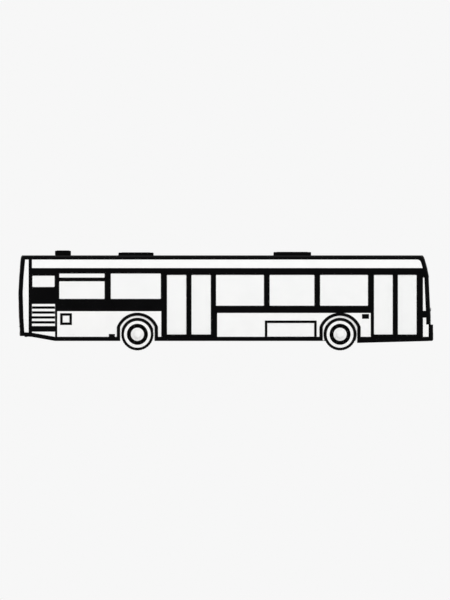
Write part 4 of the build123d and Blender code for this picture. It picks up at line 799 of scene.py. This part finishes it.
def wiper(maker, y0, y1, z):
    """One wiper: its pivot below the windscreen, its arm, and its blade across the foot of the glass."""
    point, normal = at_end("front_surround", y0, z - 0.03)
    maker.add(disc(point, normal, 0.022, 0.012))
    blade = []
    for y in (y0 + (y1 - y0) * 0.08, (y0 + y1) / 2, y1):
        on_glass, normal = at_end("windscreen", y, z + 0.035)
        blade.append(on_glass + normal * 0.0095)
    maker.add(tube(blade, 0.008, 8))
    middle, lift = blade[1], Vector((0.01, 0, 0))
    maker.add(tube([point + lift, middle + lift], 0.006, 8))
    maker.block((middle.x - 0.012, middle.x + 0.014), about(middle.y, 0.05), about(middle.z, 0.008), 0.004)


def nose_fittings():
    """Wipers, lamp bowls, fog lamps, a blank display and the seams and locks of the nose flap."""
    maker = Maker("wipers")
    for ends in WIPER_SPANS:
        wiper(maker, *ends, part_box("windscreen")[0].z)
    maker.done()
    lamps = Maker("lamp_bowls")
    for low, high in islands("headlamps"):
        side = 1 if low.y > 0 else -1
        outer, inner = (high.y, low.y) if side > 0 else (low.y, high.y)
        middle_z, radius = (low.z + high.z) / 2, (high.z - low.z) * 0.4
        for share in (0.22, 0.64):
            spot = Vector((low.x + 0.003, inner + side * abs(outer - inner) * share, middle_z))
            bowl = [(0.0, 0.002), (radius * 0.5, 0.006), (radius * 0.9, 0.022), (radius, 0.026)]
            bowl += [(radius, 0.022), (radius * 0.4, 0.0), (0.0, 0.0)]
            lamps.add(ring_boss(bowl, spot, Vector((1, 0, 0)), 32), "reflector")
            lamps.add(disc(spot, (1, 0, 0), radius * 0.22, 0.014, 16, 0.006), "clear_lamp")
        x = at_end("headlamps", outer - side * 0.024, middle_z)[0].x
        ys, zs = (outer - side * 0.042, outer - side * 0.006), (low.z + 0.008, high.z - 0.008)
        lamps.block((x - 0.008, x + 0.0005), ys, zs, 0.003, "amber_lamp")
        spot, normal = at_end("front_bumper", side * FOG_LAMP_Y, FOG_LAMP_Z)
        ring = [(0.05, 0.0), (0.05, 0.003), (0.043, 0.003), (0.041, 0.001), (0.0, 0.001)]
        lamps.add(ring_boss(ring, spot, normal, 32), "frame_steel")
        lamps.add(disc(spot, normal, 0.041, 0.002, 32, 0.0015), "clear_lamp")
    lamps.done(slot="head_lamp")
    display = Maker("blank_display")
    end_sheet(display, "front_surround", DISPLAY_HALF, DISPLAY_Z, 0.0015, "display_glass")
    display.done(slot="black_paint")
    seams = Maker("nose_flap_seams")
    top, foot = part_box("front_panel")[1].z - 0.06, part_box("front_bumper")[1].z - 0.18
    for z in (top, foot):
        end_sheet(seams, "front_panel", NOSE_FLAP_HALF, about(z, 0.002), 0.001, "black_rubber", steps=20)
    for y in (-NOSE_FLAP_HALF, NOSE_FLAP_HALF):
        seams.add(tube([at_end("front_panel", y, z)[0] for z in (foot, top)], 0.0022, 6))
    for y in (-NOSE_LOCK_Y, NOSE_LOCK_Y):
        point, normal = at_end("front_panel", y, top - 0.035)
        seams.add(disc(point, normal, 0.012, 0.003), "frame_steel")
    seams.done()


def tail_fittings():
    """Lamp discs, third brake light, engine flap louvres and handles, blank plate, reflectors."""
    lamps = Maker("tail_lamp_discs")
    discs = ((0.12, "clear_lamp"), (0.37, "tail_lamp"), (0.63, "tail_lamp"), (0.88, "amber_lamp"))
    for low, high in islands("tail_lamps"):
        for share, colour in discs:
            z = low.z + (high.z - low.z) * share
            point, normal = at_end("tail_lamps", (low.y + high.y) / 2, z, 1)
            lamps.add(disc(point, normal, (high.y - low.y) * 0.4, 0.0015, 32, 0.001), colour)
    end_sheet(lamps, "rear_panel", BRAKE_LIGHT_HALF, BRAKE_LIGHT_Z, 0.004, "tail_lamp", 1)
    lamps.done(slot="tail_lamp")
    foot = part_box("engine_flap")[0].z
    grille = Maker("engine_grille")
    for n in range(GRILLE_SLATS):
        z = foot + 0.3 + GRILLE_PITCH * n
        x = at_end("engine_flap", 0, z, 1)[0].x
        grille.block((x - 0.003, x + 0.004), (-GRILLE_HALF, GRILLE_HALF), about(z, 0.011), 0.002)
    for y in (-FLAP_HANDLE_Y, FLAP_HANDLE_Y):
        x = at_end("engine_flap", y, foot + 0.05, 1)[0].x
        grille.block((x - 0.012, x + 0.002), about(y, 0.06), about(foot + 0.05, 0.014), 0.006)
    grille.done(BODY_OF["engine_flap"])
    plate = Maker("blank_plate_rear")
    end_sheet(plate, "rear_surround", PLATE_HALF, PLATE_Z, 0.004, "plate", 1)
    plate.done(slot="white_paint")
    marks = Maker("tail_reflectors")
    for side in (-1, 1):
        x = at_end("rear_surround", side * 0.93, MARKS_Z, 1)[0].x
        marks.block((x - 0.003, x + 0.01), [side * y for y in REFLECTOR_Y], (0.46, 0.51), 0.003, "tail_lamp")
        x = at_end("rear_surround", side * 0.3, MARKS_Z, 1)[0].x
        marks.block((x - 0.006, x + 0.01), [side * y for y in PLATE_BLOCK_Y], (0.44, 0.53), 0.004)
    marks.done(slot="tail_lamp")


# Body fittings


def tyre_nodes():
    """The side's name and sign and the CAD node of each wheel's tyres."""
    return [(word, side, stem + word) for word, side in SIDES for stem in ("tyre_front_", "tyres_rear_")]


def wheelhouse_liners():
    """White plastic sheets on the back, ends and roof of each wheel housing, clear of the axles."""
    maker = Maker("wheelhouse_liners")
    for _, side, node in tyre_nodes():
        outer = side * abs(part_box("cab_partition")[1].y) - side * 0.002
        low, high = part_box(node)
        centre = (low + high) / 2
        start = Vector((centre.x, side * (abs(centre.y) + 0.05), high.z + 0.015))
        ways = ((0, -side, 0), (1, 0, 0), (-1, 0, 0), (0, 0, 1))
        hits = [surface("floor_deck", start, way)[0] for way in ways]
        back, fore, aft, top = hits[0].y, hits[1].x, hits[2].x, hits[3].z
        foot = centre.z + LINER_FOOT
        for xs, ys, zs in (
            ((aft, fore), (back, back + side * LINER_T), (foot, top)),
            ((aft, aft + LINER_T), (back, outer), (foot, top)),
            ((fore - LINER_T, fore), (back, outer), (foot, top)),
            ((aft, fore), (back, outer), (top - LINER_T, top)),
        ):
            maker.block(xs, ys, zs, 0.001, "liner", 1)
    maker.done(slot="white_paint")


def arch_flanges():
    """White inner flange of each wheel arch, from the opening in the body side to just outside the tyre."""
    maker = Maker("arch_flanges")
    for word, side, node in tyre_nodes():
        low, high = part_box(node)
        face = max(side * low.y, side * high.y)
        axle = Vector(((low.x + high.x) / 2, side * (face + FLANGE_LIFT), (low.z + high.z) / 2))
        radius = (high.z - low.z) / 2 + FLANGE_GAP
        rows = []
        for k in range(FLANGE_STEPS + 1):
            angle = math.pi * (-0.14 + 1.28 * k / FLANGE_STEPS)
            way = Vector((math.cos(angle), 0, math.sin(angle)))
            edge = surface("side_wall_" + word, axle, way)[0]
            if edge is not None and radius < (edge - axle).length < 1.5 * radius:
                rows.append((axle + way * radius, edge))
        bm = bmesh.new()
        step = Vector((0, side * FLANGE_T, 0))
        rings = [[bm.verts.new(c) for c in (a, b, b + step, a + step)] for a, b in rows]
        maker.add(closed(bm, rings), "white_paint", smooth=False)
    maker.done(slot="white_paint")


def strip_corners():
    """Black fillets that round the front top corners of the white strips over the windows."""
    maker = Maker("strip_corners")
    for word, side in SIDES:
        wall = "side_wall_" + word
        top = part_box(wall)[1].z
        verts = [v.co for v in NODES[wall].data.vertices]
        corner = max((v for v in verts if v.z > top - 0.001), key=lambda v: v.x)
        foot = max((v for v in verts if top - 0.3 < v.z < top - 0.1), key=lambda v: v.x)
        start = corner.x - 0.3, side * PROBE_Y
        high, low = (surface(wall, (*start, z), (0, -side, 0))[0] for z in (top - 0.01, foot.z + 0.01))
        lean = (high.y - low.y) / (high.z - low.z)
        out = Vector((0, side, -side * lean)).normalized()
        down = Vector((foot.x - corner.x, 0, foot.z - corner.z)).normalized()
        back = Vector((-1, 0, 0))
        half_angle = back.angle(down) / 2
        tip = Vector((corner.x, 0, corner.z))
        centre = tip + (back + down).normalized() * STRIP_R / math.sin(half_angle)
        reach = STRIP_R / math.tan(half_angle)
        ends = [tip + way * reach - centre for way in (back, down)]
        start, end = (math.atan2(v.z, v.x) for v in ends)
        turns = (start + (end - start) * n / STRIP_STEPS for n in range(STRIP_STEPS + 1))
        plan = [centre + Vector((math.cos(turn), 0, math.sin(turn))) * STRIP_R for turn in turns]
        over = (back + down).normalized() * STRIP_OVER
        plan += [plan[-1] - back * STRIP_OVER, tip - over, plan[0] - down * STRIP_OVER]
        bm = bmesh.new()
        rings = []
        for height in (0.0005, STRIP_T):
            at = [Vector((v.x, high.y + (v.z - high.z) * lean, v.z)) + out * height for v in plan]
            rings.append([bm.verts.new(v) for v in at])
        maker.add(closed(bm, rings), "black_paint", smooth=False)
    maker.done(slot="black_paint")


def louvre_screens():
    """Black mesh and backing sheet behind the engine louvres: painted shade standing in for the dark engine
    bay seen between the slats.
    """
    maker = Maker("louvre_screens")
    slats = islands("engine_louvres")
    for side in (-1, 1):
        own = [box for box in slats if box[0].y * side > 0]
        depth = min(min(abs(low.y), abs(high.y)) for low, high in own)
        ys = sorted((side * (depth - SCREEN_T), side * depth))
        zs = min(low.z for low, _ in own), max(high.z for _, high in own)
        low_x, high_x = own[0][0].x + SCREEN_T, own[0][1].x - SCREEN_T
        # the black backing sheet and its bars are painted shade for the engine bay behind the slats
        maker.block((low_x, high_x), ys, zs, 0.001, segments=1)
        for n in range(SCREEN_BARS):
            x = low_x + (high_x - low_x) * (n + 0.5) / SCREEN_BARS
            maker.block(about(x, 0.002), (ys[0] - 0.002, ys[1] + 0.002), zs, 0.001, segments=1)
    maker.done()


def portal_seals():
    """Black rubber round the inside of each door portal, with lips over the outer edges of the leaves."""
    for door in ("middle", "front"):
        maker = Maker("portal_seal_" + door)
        near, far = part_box("door_leaf_" + door + "_a"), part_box("door_leaf_" + door + "_b")
        y0, y1, lip = near[0].y - SEAL_OUT, near[0].y + SEAL_IN, near[0].y - LIP_OFF
        middle = Vector(((near[0].x + far[1].x) / 2, near[0].y, (near[0].z + near[1].z) / 2))
        wall = "side_wall_right"
        x0, x1 = (surface(wall, middle, (way, 0, 0))[0].x for way in (-1, 1))
        z0, z1 = (surface(wall, middle, (0, 0, way))[0].z for way in (-1, 1))
        for xs, back, zs in (
            ((x0, x0 + LINER_T), y1, (z0, z1)), ((x1 - LINER_T, x1), y1, (z0, z1)),
            ((x0, x1), y1, (z1 - LINER_T, z1)), ((x0, x1), y1, (z0, z0 + LINER_T)),
            ((x0, near[0].x + LIP_OVER), lip, (z0, z1)), ((far[1].x - LIP_OVER, x1), lip, (z0, z1)),
            ((x0, x1), lip, (near[1].z - 2 * LIP_OVER, z1)), ((x0, x1), lip, (z0, near[0].z + 2 * LIP_OVER)),
        ):
            maker.block(xs, (y0, back), zs, 0.0015)
        maker.done()


def skirt_tips():
    """Black ends that join the skirt rails to the tail's corners."""
    maker = Maker("skirt_tips")
    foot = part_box("rear_surround")[0].z
    for side in (-1, 1):
        rail = next(box for box in islands("skirt_mouldings") if box[0].y * side > 0)
        x = rail[0].x
        out = max(abs(rail[0].y), abs(rail[1].y))
        below, above = (x + 0.01, side * (out - 0.001), 0), (x + 0.01, side * (out - 0.001), 0.8)
        rays = ((below, (0, 0, 1)), (above, (0, 0, -1)))
        start, end = (surface("skirt_mouldings", *ray)[0] for ray in rays)
        ys = side * (out - 0.008), side * (out - 0.0005)
        maker.block((x - 0.014, x + 0.002), ys, (max(start.z, foot), end.z), 0.001, "black_paint", 1)
    maker.done(slot="black_paint")


def pocket_fittings():
    """Filler cap behind the fuel flap, and a seal and ribs behind the service flap."""
    maker = Maker("flap_pockets")
    low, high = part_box("fuel_flap")
    spot, _ = from_door_side("side_wall_right", (low.x + high.x) / 2, (low.z + high.z) / 2)
    cap = [(0.05, 0.0), (0.05, 0.003), (0.046, 0.005), (0.034, 0.005), (0.032, 0.003), (0.0, 0.003)]
    maker.add(ring_boss(cap, spot, Vector((0, -1, 0)), 40))
    maker.block(about(spot.x, 0.03), (spot.y - 0.006, spot.y - 0.002), about(spot.z, 0.007), 0.002)
    low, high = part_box("side_flap")
    middle = (low + high) / 2
    y = from_door_side("side_wall_right", middle.x, middle.z)[0].y
    side_frame(maker, -1, y, low, high, (POCKET_INSET, POCKET_INSET + 0.014), (0.02, 0.02))
    for n in range(POCKET_RIBS):
        x = low.x + (high.x - low.x) * (n + 1) / (POCKET_RIBS + 1)
        maker.block(about(x, 0.015), (y - 0.004, y + 0.001), (low.z + 0.07, high.z - 0.07), 0.003, "liner")
    maker.done()


def lid_fittings():
    """Locks on the side flaps, and ribs on the roof hatches."""
    for node, across, up in (("fuel_flap", 0.85, 0.5), ("side_flap", 0.5, 0.12)):
        low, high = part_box(node)
        maker = Maker(node + "_lock")
        spot = Vector((low.x + (high.x - low.x) * across, low.y, low.z + (high.z - low.z) * up))
        maker.add(disc(spot, (0, -1, 0), 0.011, 0.002), "rail_steel")
        maker.done(BODY_OF[node])
    for node in ("roof_hatch_rear", "roof_hatch_front"):
        low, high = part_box(node)
        maker = Maker(node + "_ribs")
        xs, zs = (low.x + 0.1, high.x - 0.1), (high.z - 0.004, high.z + 0.006)
        for n in range(HATCH_RIBS):
            y = low.y + (high.y - low.y) * (n + 1) / (HATCH_RIBS + 1)
            maker.block(xs, about(y, 0.02), zs, 0.005, "black_paint")
        maker.done(BODY_OF[node], "black_paint")


def roof_unit():
    """The extractor box, a housing with raised slats on its lid."""
    low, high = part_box("roof_unit")
    maker = Maker("roof_unit_housing")
    deck = high.z - SLAT_H
    maker.block((low.x, high.x), (low.y, high.y), (low.z, deck), 0.022, "black_paint", 4)
    for n in range(ROOF_SLATS):
        y = low.y + 0.1 + (high.y - low.y - 0.2) * n / (ROOF_SLATS - 1)
        maker.block((low.x + 0.05, high.x - 0.05), about(y, 0.026), (deck - 0.004, high.z), 0.003)
    maker.done(slot="black_paint", stands_for=["roof_unit"])


def engine():
    """Six-cylinder engine with its manifolds, filters, pulleys and belt, in place of the CAD block."""
    low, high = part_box("engine_block")
    maker = Maker("engine")
    width, height = high.y - low.y, high.z - low.z
    y, half = (low.y + high.y) / 2, width * 0.3
    rear = low.x + 0.09
    z1, z2, z3 = low.z + height * 0.2, low.z + height * 0.66, low.z + height * 0.84
    maker.block((rear + 0.05, high.x - 0.12), about(y, half * 0.75), (low.z, z1), 0.03, "frame_steel", 3)
    maker.block((rear, high.x), about(y, half), (z1 - 0.01, z2), 0.02, "engine_iron", 3)
    maker.block((rear + 0.02, high.x - 0.02), about(y, half * 0.8), (z2 - 0.01, z3), 0.015, "engine_iron", 3)
    pitch = (high.x - rear - 0.1) / CYLINDERS
    manifolds = []
    for side, rise, metal in ((1, 0.04, "rail_steel"), (-1, -0.06, "frame_steel")):
        manifolds.append((side, y + side * (width / 2 - MANIFOLD_INSET), z2 + rise, metal))
    for n in range(CYLINDERS):
        x = rear + 0.05 + pitch * (n + 0.5)
        zs = z3 - 0.01, high.z - 0.03
        maker.block(about(x, pitch * 0.42), about(y, half * 0.55), zs, 0.02, "cab_trim", 3)
        maker.add(disc((x, y, high.z - 0.03), (0, 0, 1), 0.02, 0.02, 12), "rail_steel")
        for side, far, z, metal in manifolds:
            port = [(x, y + side * half * 0.8, z2 + 0.05), (x, far, z2 + 0.05), (x, far, z)]
            maker.add(tube(port, 0.022), metal)
            ys, zs = about(y + side * half, 0.012), (z1 + 0.03, z2 - 0.03)
            maker.block(about(x, 0.006), ys, zs, 0.004, "engine_iron")
    for _, far, z, metal in manifolds:
        maker.add(tube([(rear + 0.04, far, z), (high.x - 0.04, far, z)], 0.04, 16), metal)
    drum = [(0.0, -0.06), (0.07, -0.06), (0.095, -0.02), (0.095, 0.02), (0.07, 0.06), (0.0, 0.06)]
    spot = Vector((high.x - 0.3, y - width / 2 + 0.098, z2 - 0.06))
    maker.add(lathe(drum, spot, 1, 28), "engine_iron")
    for n in range(2):
        spot = (rear + 0.2 + 0.16 * n, y + width / 2 - 0.08, z1 - 0.06)
        maker.add(disc(spot, (0, 0, 1), 0.055, 0.2, 24), "white_paint")
    pulleys = [(0.0, z1 + 0.06, 0.11), (-0.16, z2 - 0.02, 0.055)]
    pulleys += [(0.17, z2 + 0.02, 0.075), (0.0, z3 - 0.03, 0.06)]
    for dy, z, r in pulleys:
        wheel = [(0.0, 0.0), (r * 0.55, 0.004), (r * 0.6, -0.012), (r * 0.9, -0.012), (r, 0.0)]
        wheel += [(r, 0.01), (r - 0.008, 0.018), (r, 0.026), (r, 0.036), (0.0, 0.036)]
        hub = Vector((rear - 0.05, y + dy, z))
        maker.add(ring_boss(wheel, hub, Vector((1, 0, 0)), 32), "frame_steel")
        maker.add(disc(hub + Vector((0.03, 0, 0)), (1, 0, 0), 0.03, 0.03, 16), "engine_iron")
    belt = [(Vector((rear - 0.033, y + pulleys[n][0], pulleys[n][1])), pulleys[n][2]) for n in (0, 2, 3, 1)]
    centre = sum((spot for spot, _ in belt), Vector()) / 4
    loop = []
    for spot, radius in belt:
        out = (spot - centre).normalized()
        for turn in (-50, 0, 50):
            way = Matrix.Rotation(math.radians(turn), 3, "X") @ out
            loop.append(spot + way * (radius + 0.002))
    loop.sort(key=lambda point: math.atan2(point.z - centre.z, point.y - centre.y))
    maker.add(tube(loop + loop[:2], 0.006, 8))
    maker.done(slot="engine_iron", stands_for=["engine_block"])


# Cabin


def cabin_fittings():
    """Clamps between poles and rails, ceiling lights and stop buttons."""
    maker = Maker("pole_clamps")
    bars = islands("grab_rails")
    rail = next(box for box in bars if box[1].z - box[0].z < 0.5)
    rail_z = (rail[0].z + rail[1].z) / 2
    for low, high in bars:
        if high.z - low.z <= 0.5:
            continue
        x, y, r = (low.x + high.x) / 2, (low.y + high.y) / 2, (high.x - low.x) / 2
        side = 1 if y > 0 else -1
        ys = y - side * (r + 0.004), y + side * (3 * r + 0.004)
        maker.block(about(x, 0.024), ys, about(rail_z, 0.024), 0.008, "cab_trim")
        maker.add(disc((x, y, low.z), (0, 0, 1), 0.034, 0.012), "rail_steel")
        maker.add(disc((x, y, high.z), (0, 0, -1), 0.034, 0.012), "rail_steel")
        if side > 0:
            maker.block(about(x, 0.022), about(y, 0.026), STOP_BUTTON_Z, 0.01, "tail_lamp")
    maker.done(slot="cab_trim")
    strips = Maker("ceiling_lights")
    low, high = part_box("roof_panel")
    start, end = low.x + LIGHT_INSET, high.x - LIGHT_INSET
    for side in (-1, 1):
        for n in range(LIGHTS):
            xs = [start + (end - start) * share / LIGHTS for share in (n, n + 0.9)]
            zs = low.z - 0.022, low.z + 0.001
            strips.block(xs, about(side * LIGHT_Y, 0.06), zs, 0.01, "light_strip")
    strips.done(slot="white_paint")


def cab_fittings():
    """Blank dials and switches on the dashboard; a rail, panel seams and a handle on the cab partition."""
    low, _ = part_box("dashboard")
    maker = Maker("cab_controls")
    for n in range(3):
        spot, normal = from_above("dashboard", low.x + 0.52, DIAL_Y - DIAL_PITCH + DIAL_PITCH * n)
        maker.add(disc(spot, normal, 0.055 if n == 1 else 0.045, 0.008, 28, 0.002), "display_glass")
    for n in range(SWITCHES):
        spot, normal = from_above("dashboard", low.x + 0.5, SWITCH_Y + SWITCH_PITCH * n)
        if spot is not None:
            maker.add(disc(spot, normal, 0.01, 0.006, 12))
    maker.done(slot="cab_trim")
    low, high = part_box("cab_partition")
    rails = Maker("cab_rails")
    y, inside, outside = low.y + 0.0125, low.x + 0.04, high.x - 0.03
    top = from_above("cab_partition", high.x - 0.1, y)[0].z
    z = top + 0.03
    rail = [(inside, y, z - 0.03), (inside, y, z), (outside, y, z), (outside, y, z - 0.03)]
    rails.add(tube(rail, 0.014), "rail_steel")
    seam = (inside + high.x) / 2 - 0.05
    for x in (seam, high.x - 0.06):
        zs = low.z + 0.05, top - 0.03
        rails.block(about(x, 0.003), (low.y - 0.0015, low.y + 0.002), zs, 0.001, segments=1)
    ys, zs = (low.y - 0.014, low.y + 0.002), (top - 0.16, top - 0.135)
    rails.block((seam + 0.04, seam + 0.13), ys, zs, 0.006, "rail_steel")
    rails.done(slot="rail_steel")


# Stage


def stage():
    """Pale floor, soft light, pale surroundings and the photograph's camera."""
    scene = bpy.context.scene
    mesh = bpy.data.meshes.new("floor")
    corners = [(x * FLOOR_REACH, y * FLOOR_REACH, 0) for x, y in ((-1, -1), (1, -1), (1, 1), (-1, 1))]
    mesh.from_pydata(corners, [], [(0, 1, 2, 3)])
    floor = bpy.data.objects.new("floor", mesh)
    scene.collection.objects.link(floor)
    mesh.materials.append(Finish("floor", (0.96, 0.96, 0.955), 0.95, Specular_IOR_Level=0.1).material)
    for name, direction, energy, angle in (
        ("key", (0.35, -0.62, 0.7), 1.65, 30),
        ("fill", (-0.6, 0.6, 0.5), 0.6, 60),
    ):
        data = bpy.data.lights.new(name, "SUN")
        data.energy = energy
        data.angle = math.radians(angle)
        light = bpy.data.objects.new(name, data)
        light.rotation_mode = "QUATERNION"
        light.rotation_quaternion = Vector(direction).to_track_quat("Z", "Y")
        light.visible_glossy = False
        scene.collection.objects.link(light)
    world = bpy.data.worlds.new("world")
    scene.world = world
    world.use_nodes = True
    tree = world.node_tree
    background = tree.nodes["Background"]
    background.inputs["Color"].default_value = (1, 1, 1, 1)
    path = tree.nodes.new("ShaderNodeLightPath")
    seen = path.outputs["Is Camera Ray"]
    for ray in ("Is Glossy Ray", "Is Transmission Ray"):
        either = tree.nodes.new("ShaderNodeMath")
        either.operation = "MAXIMUM"
        tree.links.new(seen, either.inputs[0])
        tree.links.new(path.outputs[ray], either.inputs[1])
        seen = either.outputs["Value"]
    strength = tree.nodes.new("ShaderNodeMapRange")
    strength.inputs["To Min"].default_value = 0.5
    strength.inputs["To Max"].default_value = 0.93
    tree.links.new(seen, strength.inputs["Value"])
    tree.links.new(strength.outputs["Result"], background.inputs["Strength"])
    data = bpy.data.cameras.new("camera")
    data.type = "ORTHO"
    data.ortho_scale = PHOTO_HEIGHT_PX * METRES_PER_PIXEL
    data.clip_end = FLOOR_REACH
    camera = bpy.data.objects.new("camera", data)
    scene.collection.objects.link(camera)
    x = (PHOTO_HEIGHT_PX * PHOTO_ASPECT / 2 - MIDDLE_PX) * METRES_PER_PIXEL
    z = (GROUND_PX - PHOTO_HEIGHT_PX / 2) * METRES_PER_PIXEL
    camera.location = (x, -CAMERA_DISTANCE, z)
    camera.rotation_euler = (math.pi / 2, 0, 0)
    scene.camera = camera
    scene.view_settings.view_transform = "Standard"


dress_nodes()
wheels()
gaskets()
door_fittings()
seats()
driver_seat()
nose_fittings()
tail_fittings()
wheelhouse_liners()
arch_flanges()
strip_corners()
louvre_screens()
portal_seals()
skirt_tips()
pocket_fittings()
lid_fittings()
roof_unit()
engine()
cabin_fittings()
cab_fittings()
stage()
